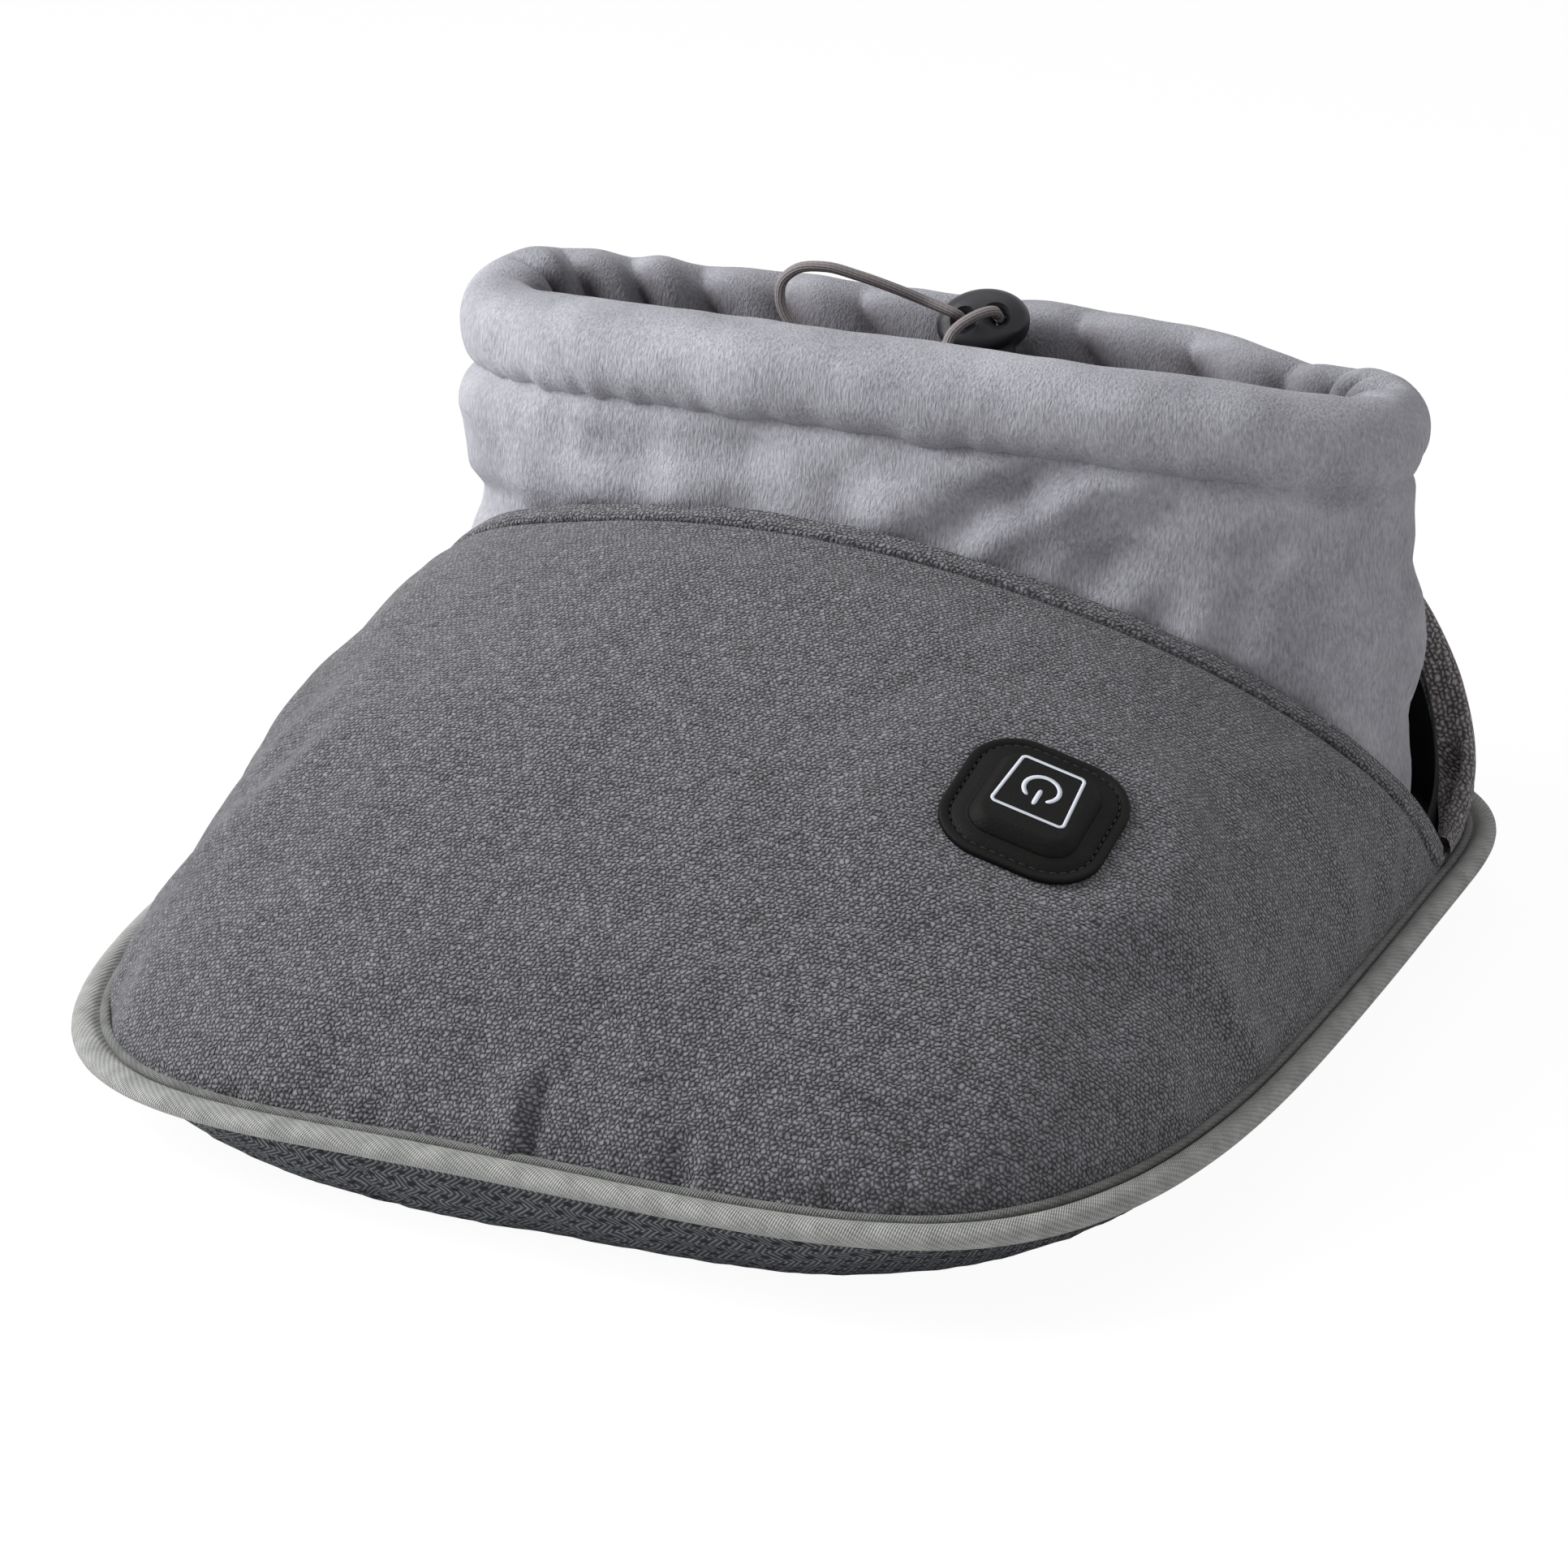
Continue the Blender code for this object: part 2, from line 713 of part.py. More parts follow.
def dish(name, rings, finish):
    """Solid from rings stacked from its middle outwards and back, closed by a flat face at each end."""
    shape = bmesh.new()
    made = join_sections(shape, rings, closed=False)
    shape.faces.new(made[0])
    shape.faces.new(made[-1])
    return object_from_bmesh(name, shape, finish)


def build_sole(mesh_fabric, foam):
    steps = shares(0, 1, SOLE_ROWS)
    outside = [sole_ring(step, 0, 0) for step in steps]
    inside = [sole_ring(step, SOLE_FABRIC, SOLE_FABRIC if step < 1 else 0) for step in steps]
    dish("sole_cover", outside + inside[::-1], mesh_fabric)
    lift = SOLE_FABRIC + FOAM_CLEARANCE
    filled = [sole_ring(step, lift + FOAM_CLEARANCE, lift) for step in steps]
    top = FOAM_BASE + FOAM_THICKNESS
    below = [ring for ring in filled if ring[0].z < top]
    above = filled[len(below)]
    share = (top - below[-1][0].z) / (above[0].z - below[-1][0].z)
    rim = [low.lerp(high, share) for low, high in zip(below[-1], above)]
    dish("sole_foam", below + [rim], foam)


def flat_pad(name, inset, base, thickness, rounding, finish):
    """Flat pad that follows the base outline, with softened edges."""
    levels = [(rounding, 0), (0, rounding), (0, thickness - rounding), (rounding, thickness)]
    if not rounding:
        levels = [(0, 0), (0, thickness)]
    angles = even_angles(0, 2 * math.pi, BASE_STATIONS + 1)[:-1]
    rings = [
        [raised(base_outline(angle, inset + more), base + up) for angle in angles]
        for more, up in levels
    ]
    return dish(name, rings, finish)


def heating_route():
    """Points of the heating wire: runs along the foot, joined by half turns."""
    pitch = HEATING_FIELD_WIDTH / (HEATING_RUNS - 1)
    level = HEATER_LEVEL + HEATING_WIRE_RADIUS
    points = []
    for run in range(HEATING_RUNS):
        x = HEATING_FIELD_WIDTH / 2 - run * pitch
        heelward = run % 2 == 0
        ends = (HEATING_FIELD_TOE, HEATING_FIELD_HEEL)
        start, end = ends if heelward else ends[::-1]
        points.append(Vector((x, start, level)))
        if run == HEATING_RUNS - 1:
            points.append(Vector((x, end, level)))
            break
        for step in range(TURN_POINTS):
            turn = math.pi * step / TURN_POINTS
            y = end + math.copysign(pitch / 2 * math.sin(turn), 1 if heelward else -1)
            points.append(Vector((x - pitch / 2 * (1 - math.cos(turn)), y, level)))
    return points


def build_heater(felt, wire, plastic, metal):
    flat_pad("heater_mat", MAT_INSET, MAT_BASE, MAT_THICKNESS, 0, felt)
    tube("heating_wire", heating_route(), HEATING_WIRE_RADIUS, wire)
    edge = HEATING_FIELD_WIDTH / 2
    end = HEATING_FIELD_TOE - GAP
    box(
        "thermostat",
        (THERMOSTAT_WIDTH, THERMOSTAT_LENGTH, THERMOSTAT_HEIGHT),
        (edge, end - THERMOSTAT_LENGTH / 2, HEATER_LEVEL + THERMOSTAT_HEIGHT / 2),
        finish=plastic,
    )
    fuse_frame = Matrix.Translation((-edge, end, HEATER_LEVEL + FUSE_RADIUS)) @ Matrix.Rotation(
        QUARTER, 4, "X"
    )
    rod("thermal_fuse", FUSE_RADIUS, 0, FUSE_LENGTH, (0, 0), fuse_frame, metal, sides=12)


def build_return_wire(wire):
    """Wire that takes the fuse's end back across the toe to the thermostat's side."""
    edge = HEATING_FIELD_WIDTH / 2
    level = HEATER_LEVEL + FUSE_RADIUS
    fuse_end = HEATING_FIELD_TOE - GAP - FUSE_LENGTH - GAP
    foremost = fuse_end - RETURN_REACH
    corner = RETURN_REACH * RETURN_CORNER_SHARE
    beside = edge - THERMOSTAT_WIDTH / 2 - GAP
    middle = HEATING_FIELD_TOE - GAP - THERMOSTAT_LENGTH / 2
    route = [
        Vector((-edge, fuse_end, level)),
        Vector((-edge, fuse_end - RETURN_REACH * RETURN_STRAIGHT_SHARE, level)),
        Vector((-edge + corner, foremost, level)),
        Vector((0, foremost, level)),
        Vector((edge - RETURN_REACH * RETURN_FAR_SHARE, foremost, level)),
        Vector((beside - corner, middle, level)),
        Vector((beside, middle, level)),
    ]
    tube("return_wire", smooth_route(route, 10 * HEATING_WIRE_RADIUS), HEATING_WIRE_RADIUS, wire)


# Upper


def build_piping(twill):
    """Piping cord in its twill sleeve, whose tail is sewn into the seam."""
    sections = []
    for angle in even_angles(0, 2 * math.pi, BASE_STATIONS + 1)[:-1]:
        half_tail = TAIL_THICKNESS / 2
        neck = math.asin(half_tail / PIPING_RADIUS)
        section = []
        for i in range(PIPING_SIDES + 1):
            turn = math.pi - neck - (2 * math.pi - 2 * neck) * i / PIPING_SIDES
            inset = PIPING_RADIUS * (1 - math.cos(turn))
            lift = PIPING_RADIUS * math.sin(turn)
            section.append(raised(base_outline(angle, inset), seam_height(angle) + lift))
        tail = base_outline(angle, 2 * PIPING_RADIUS + TAIL_LENGTH)
        section.append(raised(tail, seam_height(angle) - half_tail))
        section.append(raised(tail, seam_height(angle) + half_tail))
        sections.append(section)
    ring_loft("edge_piping", sections, twill)


@functools.lru_cache(maxsize=None)
def share_of_band(surface, along, band):
    """Place up a surface where a band of this width, measured down from its edge, begins."""
    fine = shares(0, 1, 60)
    points = [surface(along, up) for up in fine]
    length = np.concatenate([[0], np.cumsum([(b - a).length for a, b in zip(points, points[1:])])])
    shortest = length[-1] / 3 + HEM_BAND - band
    return float(np.interp(max(length[-1] - band, shortest), length, fine))


def below_band(surface, band):
    """The same surface with its places up squeezed to end where the hem band begins."""

    def squeezed(along, up):
        return surface(along, up * share_of_band(surface, along, band))

    return squeezed


def in_band(surface, band):
    """The stretch of a surface that the hem band covers."""

    def stretched(along, up):
        start = share_of_band(surface, along, band)
        return surface(along, start + (1 - start) * up)

    return stretched


@functools.lru_cache(maxsize=None)
def share_above(surface, along, height):
    """Lowest place up a surface that is above a height."""
    return next((up for up in shares(0, 1, 120) if surface(along, up).z > height), 1.0)


def above(surface, measured, height):
    """A surface whose places up start where the measured one is above a height."""

    def squeezed(along, up):
        start = share_above(measured, along, height)
        return surface(along, start + (1 - start) * up)

    return squeezed


def lifted(surface, whole, height):
    """A surface moved outwards along the normals of the whole one."""

    def moved(along, up):
        return surface(along, up) + surface_normal(whole, along, up) * height

    return moved


def build_vamp(knit, wadding, plush):
    alongs = shares(0, 1, VAMP_COLUMNS)
    ups = shares(0, 1, VAMP_ROWS)
    cover = below_band(vamp_surface, HEM_BAND + GAP)
    vamp = panel("vamp_cover", cover, layer(cover, even_depth(COVER_THICKNESS)), alongs, ups, knit)
    inner_alongs = alongs[1:-1]
    inner_ups = ups[1:-1]
    pad = panel(
        "vamp_wadding",
        layer(cover, wadding_top),
        layer(cover, wadding_under),
        inner_alongs,
        inner_ups,
        wadding,
    )
    inside = layer(cover, lining_under)
    insole_top = INSOLE_BASE + INSOLE_THICKNESS + GAP
    panel(
        "toe_lining",
        above(layer(cover, lining_top), inside, insole_top),
        above(inside, inside, insole_top),
        inner_alongs,
        [0, *inner_ups[:-1]],
        plush,
    )
    band = in_band(vamp_surface, HEM_BAND)
    panel(
        "vamp_hem",
        lifted(band, band, HEM_BULGE),
        layer(band, even_depth(COVER_THICKNESS + HEM_BULGE)),
        alongs,
        shares(0, 1, 2),
        knit,
    )
    return vamp, pad


def build_counter(knit, wadding, lining):
    alongs = shares(0, 1, COUNTER_COLUMNS)
    ups = shares(0, 1, COUNTER_ROWS)
    cover = below_band(counter_surface, HEM_BAND + GAP)
    counter = panel(
        "heel_counter", cover, layer(cover, even_depth(COVER_THICKNESS)), alongs, ups, knit
    )
    pad = panel(
        "heel_padding",
        layer(cover, wadding_top),
        layer(cover, padding_under),
        alongs[1:-1],
        ups[1:-1],
        wadding,
    )
    backing = panel(
        "heel_lining",
        layer(cover, heel_lining_top),
        layer(cover, heel_lining_under),
        alongs[1:-1],
        ups[1:-1],
        lining,
    )
    band = in_band(counter_surface, HEM_BAND)
    panel(
        "heel_hem",
        lifted(band, band, COUNTER_HEM_BULGE),
        layer(band, even_depth(COVER_THICKNESS + COUNTER_HEM_BULGE)),
        alongs,
        shares(0, 1, 2),
        knit,
    )
    return counter, pad, backing


def collar_ring(name, outer_depth, inner_depth, finish):
    """Tube of the collar between two depths, from its lower edge up to the rolled rim."""
    sections = []
    for i in range(COLLAR_STATIONS):
        angle = 2 * math.pi * i / COLLAR_STATIONS
        heights = shares(wall_bottom(angle), wall_top(angle), COLLAR_ROWS)
        section = [collar_point(angle, height, outer_depth) for height in heights]
        section += [collar_point(angle, height, inner_depth) for height in heights[::-1]]
        sections.append(section)
    ring_loft(name, sections, finish, COLLAR_ROWS + 1)


def build_collar(plush):
    collar_ring("collar_wall", 0, WALL_FABRIC, plush)
    collar_ring("collar_lining", WALL_FABRIC + GAP, 2 * WALL_FABRIC, plush)
    shape = bmesh.new()
    angles = [2 * math.pi * i / COLLAR_STATIONS for i in range(COLLAR_STATIONS)]
    join_sections(shape, [rim_section(a, RIM_SIDES, 0) for a in angles], closed=True)
    bmesh.ops.recalc_face_normals(shape, faces=shape.faces)
    outside = set(shape.faces)
    join_sections(shape, [rim_section(a, TUNNEL_SIDES, RIM_FABRIC) for a in angles], closed=True)
    tunnel = [face for face in shape.faces if face not in outside]
    bmesh.ops.recalc_face_normals(shape, faces=tunnel)
    bmesh.ops.reverse_faces(shape, faces=tunnel)
    mesh = bpy.data.meshes.new("collar_roll")
    shape.to_mesh(mesh)
    shape.free()
    mesh.shade_smooth()
    rim = add_object("collar_roll", mesh, plush)
    for side in (-1, 1):
        exit_hole = rod(
            f"cord_exit_{side}",
            CORD_RADIUS + CORD_CLEARANCE,
            -RIM_HALF_THICKNESS * 2.4,
            -LOCK_DEPTH / 2,
            (side * STRAND_SPACING / 2, 0),
            LOCK_FRAME,
            sides=10,
        )
        cut(rim, exit_hole)


# Cord lock: its frame's X runs through both holes, Z is the way the cord leaves towards the
# wearer, and Y points up, away from the plunger's head


def lock_frame():
    out = Vector(
        (
            math.sin(LOCK_TURN) * math.cos(LOCK_TILT),
            -math.cos(LOCK_TURN) * math.cos(LOCK_TILT),
            math.sin(LOCK_TILT),
        )
    )
    across = Vector((math.cos(LOCK_ROLL), 0, math.sin(LOCK_ROLL)))
    across = (across - out * across.dot(out)).normalized()
    centre = RIM_MIDDLE + LOCK_FACE - out * LOCK_DEPTH / 2
    return Matrix.Translation(centre) @ Matrix((across, out.cross(across), out)).transposed().to_4x4()


LOCK_FRAME = lock_frame()


def build_lock(hard_plastic, steel):
    shape = bmesh.new()
    bmesh.ops.create_cone(shape, cap_ends=True, segments=28, radius1=0.5, radius2=0.5, depth=1)
    bmesh.ops.scale(shape, vec=(LOCK_LENGTH, LOCK_HEIGHT, LOCK_DEPTH), verts=shape.verts)
    body = object_from_bmesh("cord_lock_body", shape, hard_plastic)
    body.matrix_world = LOCK_FRAME
    modifier(body, "BEVEL", width=LOCK_ROUNDING, segments=4, limit_method="ANGLE")
    well_top = -LOCK_HEIGHT / 2 + WELL_HEIGHT
    well = box(
        "plunger_well",
        (WELL_WIDTH, WELL_HEIGHT + OVERRUN, WELL_DEPTH),
        (0, well_top - (WELL_HEIGHT + OVERRUN) / 2, 0),
        LOCK_FRAME,
    )
    cut(body, well)
    for side in (-1, 1):
        hole = rod(
            f"lock_hole_{side}",
            LOCK_HOLE_RADIUS,
            -LOCK_DEPTH,
            LOCK_DEPTH,
            (side * STRAND_SPACING / 2, 0),
            LOCK_FRAME,
            sides=14,
        )
        cut(body, hole)

    room = PLUNGER_PRESS + GAP
    plunger_top = well_top - room - GAP
    size = (WELL_WIDTH - 2 * GAP, PLUNGER_HEIGHT, WELL_DEPTH - 2 * GAP)
    plunger = rounded_box(
        "cord_lock_plunger", size, size[2] / 8, (0, plunger_top - PLUNGER_HEIGHT / 2, 0),
        LOCK_FRAME, hard_plastic,
    )
    seat_depth = CORD_RADIUS
    seat_frame = LOCK_FRAME @ Matrix.Rotation(-QUARTER, 4, "X")
    seat = rod(
        "spring_seat",
        SPRING_RADIUS + SPRING_WIRE + GAP,
        plunger_top - seat_depth,
        plunger_top + OVERRUN,
        (0, 0),
        seat_frame,
        sides=14,
    )
    cut(plunger, seat)
    radius = CORD_RADIUS + GAP
    for side in (-1, 1):
        x = side * STRAND_SPACING / 2
        slot = rounded_box(
            f"plunger_slot_{side}",
            (2 * radius, 2 * radius + PLUNGER_PRESS, LOCK_DEPTH),
            radius * 0.9,
            (x, -PLUNGER_PRESS / 2, 0),
            LOCK_FRAME,
        )
        cut(plunger, slot)

    bottom = plunger_top - seat_depth + SPRING_WIRE + GAP
    top = well_top - SPRING_WIRE - GAP
    points = []
    for share in shares(0, 1, SPRING_TURNS * POINTS_A_TURN):
        turn = 2 * math.pi * SPRING_TURNS * share
        x, z = SPRING_RADIUS * math.cos(turn), SPRING_RADIUS * math.sin(turn)
        points.append(Vector((x, bottom + (top - bottom) * share, z)))
    spring = tube("cord_lock_spring", points, SPRING_WIRE, steel)
    spring.matrix_world = LOCK_FRAME


def strand(side, height):
    """Point on the straight stretch of one strand, at a height along the lock's axis."""
    return LOCK_FRAME @ Vector((side * STRAND_SPACING / 2, 0, height))


def build_cords(cord):
    """Elastic drawcord through the rim's tunnel and the lock, and the loop to pull it by."""
    face = LOCK_DEPTH / 2
    heel = 3 * QUARTER
    ring = []
    for i in range(2 * COLLAR_STATIONS):
        angle = heel - math.pi * (i + 0.5) / COLLAR_STATIONS
        ring.append(raised(rim_plan(angle, 0), rim_height(angle)))
    centre = raised(rim_plan(heel, 0), rim_height(heel))
    reach = (LOCK_FRAME.translation - centre).length - CORD_BEND
    heights = (face, 0, -face, CORD_BEND - reach, -reach)
    lead_in = [strand(-1, height) for height in heights]
    lead_out = [strand(1, height) for height in heights[::-1]]
    inner_ends = lead_in[-1], lead_out[0]
    ring = [p for p in ring if all((p - end).length > 1.5 * CORD_BEND for end in inner_ends)]
    tube("drawcord", smooth_route([*lead_in, *ring, *lead_out], 5.2 * CORD_RADIUS), CORD_RADIUS, cord)
    start = [strand(-1, face + GAP), strand(-1, face + GAP + 2 * CORD_RADIUS)]
    end = [strand(1, face + GAP + 2 * CORD_RADIUS), strand(1, face + GAP)]
    loop = [RIM_MIDDLE + point for point in LOOP_ROUTE]
    route = smooth_route([*start, *loop, *end], 2.6 * CORD_RADIUS)
    tube("pull_loop", route, CORD_RADIUS, cord, resolution=2)


# Button and switch


def build_button(leather, plastic, board, led, cover, pad):
    """Patch, button and switch, on the flat of the vamp. Heights are above the cover."""
    flange_top = GAP + PATCH_THICKNESS
    patch = rounded_box(
        "button_patch",
        (PATCH_WIDTH, PATCH_LENGTH, PATCH_THICKNESS),
        PATCH_CORNER,
        (0, 0, GAP + PATCH_THICKNESS / 2),
        PATCH_FRAME,
        leather,
    )
    window = rounded_box(
        "patch_window",
        (PAD_WIDTH + 2 * PAD_CLEARANCE, PAD_LENGTH + 2 * PAD_CLEARANCE, 3 * PATCH_THICKNESS),
        PAD_CORNER + PAD_CLEARANCE,
        (0, 0, GAP + PATCH_THICKNESS / 2),
        PATCH_FRAME,
    )
    cut(patch, window)
    groove_base = flange_top - GROOVE_DEPTH
    groove_size = (PATCH_WIDTH - 2 * GROOVE_INSET, PATCH_LENGTH - 2 * GROOVE_INSET)
    groove = rounded_box(
        "patch_groove",
        (*groove_size, GROOVE_DEPTH + OVERRUN),
        PATCH_CORNER - GROOVE_INSET,
        (0, 0, groove_base + (GROOVE_DEPTH + OVERRUN) / 2),
        PATCH_FRAME,
    )
    core = rounded_box(
        "groove_core",
        (*[side - 2 * GROOVE_WIDTH for side in groove_size], 2 * (GROOVE_DEPTH + OVERRUN)),
        PATCH_CORNER - GROOVE_INSET - GROOVE_WIDTH,
        (0, 0, groove_base + (GROOVE_DEPTH + OVERRUN) / 2),
        PATCH_FRAME,
    )
    cut(groove, core)
    cut(patch, groove)

    skirt_base = GAP + BUTTON_TRAVEL + GAP
    button = rounded_box(
        "power_button",
        (PAD_WIDTH, PAD_LENGTH, PAD_HEIGHT - skirt_base),
        PAD_CORNER,
        (0, 0, (PAD_HEIGHT + skirt_base) / 2),
        PATCH_FRAME,
        leather,
    )
    upright = button.data
    shape = bmesh.new()
    shape.from_mesh(upright)
    top = max(v.co.z for v in shape.verts)
    rim_edges = [e for e in shape.edges if all(top - v.co.z < GAP for v in e.verts)]
    bmesh.ops.bevel(
        shape, geom=rim_edges, offset=PAD_EDGE, segments=3, profile=0.5, affect="EDGES", material=-1
    )
    shape.to_mesh(upright)
    shape.free()
    hollow_height = PAD_HEIGHT - PAD_WALL - skirt_base
    hollow = rounded_box(
        "button_hollow",
        (PAD_WIDTH - 2 * PAD_WALL, PAD_LENGTH - 2 * PAD_WALL, hollow_height + OVERRUN),
        PAD_CORNER - PAD_WALL,
        (0, 0, PAD_HEIGHT - PAD_WALL - (hollow_height + OVERRUN) / 2),
        PATCH_FRAME,
    )
    cut(button, hollow)
    boss_end = PAD_HEIGHT - PAD_WALL - BOSS_LENGTH
    boss = rod(
        "button_boss", BOSS_RADIUS, boss_end, PAD_HEIGHT - PAD_WALL / 2, (0, 0), PATCH_FRAME,
    )
    unite(button, boss)

    rim_top = GAP + BUTTON_TRAVEL
    outer = (HOUSING_WIDTH, HOUSING_LENGTH, HOUSING_DEPTH + rim_top)
    housing = rounded_box(
        "switch_housing",
        outer,
        HOUSING_WALL,
        (0, 0, rim_top - outer[2] / 2),
        PATCH_FRAME,
        plastic,
    )
    rim = rounded_box(
        "housing_rim",
        (HOUSING_WIDTH + 2 * HOUSING_RIM, HOUSING_LENGTH + 2 * HOUSING_RIM, rim_top - GAP),
        HOUSING_WALL + HOUSING_RIM,
        (0, 0, (rim_top + GAP) / 2),
        PATCH_FRAME,
    )
    unite(housing, rim)
    floor = -HOUSING_DEPTH + HOUSING_WALL
    inner = (HOUSING_WIDTH - 2 * HOUSING_WALL, HOUSING_LENGTH - 2 * HOUSING_WALL)
    cavity = box(
        "housing_cavity",
        (*inner, rim_top - floor + OVERRUN),
        (0, 0, (rim_top + OVERRUN + floor) / 2),
        PATCH_FRAME,
    )
    cut(housing, cavity)
    board_base = floor + STANDOFF_HEIGHT + GAP
    board_x, board_y = [side / 2 - BOARD_CLEARANCE for side in inner]
    for x in (-1, 1):
        for y in (-1, 1):
            standoff = rod(
                f"standoff_{x}_{y}",
                STANDOFF_RADIUS,
                floor - HOUSING_WALL / 2,
                floor + STANDOFF_HEIGHT,
                (x * (board_x - 1.5 * STANDOFF_RADIUS), y * (board_y - 1.5 * STANDOFF_RADIUS)),
                PATCH_FRAME,
                sides=10,
            )
            unite(housing, standoff)

    clear = 2 * HOUSING_CLEARANCE
    opening = rounded_box(
        "housing_opening",
        (HOUSING_WIDTH + clear, HOUSING_LENGTH + clear, 2 * HOUSING_DEPTH),
        HOUSING_WALL + HOUSING_CLEARANCE,
        (0, 0, 0),
        PATCH_FRAME,
    )
    cut(cover, opening)
    cut(pad, opening)

    box(
        "control_board",
        (2 * board_x, 2 * board_y, BOARD_THICKNESS),
        (0, 0, board_base + BOARD_THICKNESS / 2),
        PATCH_FRAME,
        board,
    )
    on_board = board_base + BOARD_THICKNESS + GAP
    switch_top = on_board + SWITCH_HEIGHT
    switch = box(
        "tact_switch",
        (SWITCH_SIDE, SWITCH_SIDE, SWITCH_HEIGHT),
        (0, 0, on_board + SWITCH_HEIGHT / 2),
        PATCH_FRAME,
        plastic,
    )
    stem_base = switch_top - STEM_ENGAGEMENT
    bore = rod(
        "stem_bore",
        STEM_RADIUS + STEM_CLEARANCE,
        stem_base - BUTTON_TRAVEL - GAP,
        switch_top + OVERRUN,
        (0, 0),
        PATCH_FRAME,
    )
    cut(switch, bore)
    rod("switch_stem", STEM_RADIUS, stem_base, boss_end - GAP, (0, 0), PATCH_FRAME, plastic)
    led_frame = PATCH_FRAME @ Matrix.Translation((LED_OFFSET, 0, on_board))
    cylinder_top = LED_HEIGHT - LED_RADIUS
    dome_points = [
        (LED_RADIUS * math.cos(turn), cylinder_top + LED_RADIUS * math.sin(turn))
        for turn in (QUARTER, QUARTER * 2 / 3, QUARTER / 3)
    ]
    outline = [(0, LED_HEIGHT), *dome_points[1:], (LED_RADIUS, cylinder_top), (LED_RADIUS, 0), (0, 0)]
    turned("indicator_led", outline, led_frame, led)


# Supply inlet and leads


def inlet_frame():
    point = counter_surface(0.5, INLET_UP_SHARE)
    out = surface_normal(counter_surface, 0.5, INLET_UP_SHARE)
    across = Vector((1, 0, 0))
    return Matrix.Translation(point) @ Matrix((across, out.cross(across), out)).transposed().to_4x4()


INLET_FRAME = inlet_frame()


def build_inlet(plastic, metal, heel_layers):
    """Socket for the supply plug: a barrel through the heel counter under a round flange."""
    face = INLET_FLANGE + GAP
    outline = [
        (0, face - SOCKET_DEPTH),
        (PIN_RADIUS * 2, face - SOCKET_DEPTH),
        (SOCKET_RADIUS, face - SOCKET_DEPTH),
        (SOCKET_RADIUS, face),
        (INLET_FLANGE_RADIUS, face),
        (INLET_FLANGE_RADIUS, GAP),
        (INLET_RADIUS, GAP),
        (INLET_RADIUS, face - INLET_LENGTH),
        (0, face - INLET_LENGTH),
    ]
    turned("inlet_housing", outline, INLET_FRAME, plastic)
    rod(
        "inlet_contact_pin",
        PIN_RADIUS,
        face - SOCKET_DEPTH + GAP,
        face - PIN_SHORTFALL,
        (0, 0),
        INLET_FRAME,
        metal,
        sides=12,
    )
    passage = rod(
        "inlet_passage",
        INLET_RADIUS + HOUSING_CLEARANCE,
        -INLET_LENGTH,
        INLET_LENGTH,
        (0, 0),
        INLET_FRAME,
    )
    for layer_cut in heel_layers:
        cut(layer_cut, passage)


def lead_depth(along, up):
    """Depth of a lead in the middle of the space between wadding and lining."""
    return wadding_under(along, up) + (LEAD_SPACE + GAP) / 2


def build_leads(sleeve):
    """Leads from the inlet to the switch, and from the switch to the thermostat.

    Each runs between wadding and lining, and in the channel round the insole's edge."""
    under_wadding = layer(below_band(vamp_surface, HEM_BAND + GAP), lead_depth)
    wall = -HOUSING_LENGTH / 2 - GAP
    level = -lead_depth(PATCH_ALONG_SHARE, PATCH_UP_SHARE)
    channel = INSOLE_INSET - GAP - CHANNEL_CLEARANCE - LEAD_RADIUS
    channel_height = SEAM_HEIGHT + TAIL_THICKNESS / 2 + LEAD_RADIUS

    def leave(x):
        """Straight out of the housing's toe side."""
        return [PATCH_FRAME @ Vector((x, wall - step, level)) for step in (0, 2 * LEAD_RADIUS)]

    def down(column):
        along = column / VAMP_COLUMNS
        start = LEAD_START_SHARE * PATCH_UP_SHARE
        return [under_wadding(along, up) for up in shares(start, LEAD_END_SHARE, 9)]

    supply_column = math.floor(PATCH_ALONG_SHARE * VAMP_COLUMNS)
    start = angle_along(VAMP_ANGLES, (supply_column - 1) / VAMP_COLUMNS)
    around = [
        raised(base_outline(angle, channel), channel_height)
        for angle in even_angles(start, -QUARTER * 0.94, 26)
    ]
    back = -INLET_LENGTH + INLET_FLANGE
    inlet = [INLET_FRAME @ Vector((0, 0, back - step)) for step in (3 * LEAD_RADIUS, 0)]
    drop = around[-1].lerp(inlet[0], 0.5)
    drop.y = around[-1].y - CHANNEL_CLEARANCE
    supply = [*leave(LEAD_SPREAD), *down(supply_column), *around, drop, *inlet]
    tube("supply_lead", smooth_route(supply, 9 * LEAD_RADIUS), LEAD_RADIUS, sleeve)

    heater_column = supply_column + 1
    edge = HEATING_FIELD_WIDTH / 2
    toe_end = HEATING_FIELD_TOE - GAP - THERMOSTAT_LENGTH - GAP
    heater_z = HEATER_LEVEL + THERMOSTAT_HEIGHT / 2
    foot = base_outline(angle_along(VAMP_ANGLES, heater_column / VAMP_COLUMNS), channel)
    heater = [
        *leave(-LEAD_SPREAD),
        *down(heater_column),
        raised(foot, channel_height),
        raised(foot.lerp(Vector((edge, toe_end, 0)), LEAD_TURN_SHARE), heater_z),
        Vector((edge, toe_end - 3 * LEAD_RADIUS, heater_z)),
        Vector((edge, toe_end, heater_z)),
    ]
    tube("heater_lead", smooth_route(heater, 6 * LEAD_RADIUS), LEAD_RADIUS, sleeve)


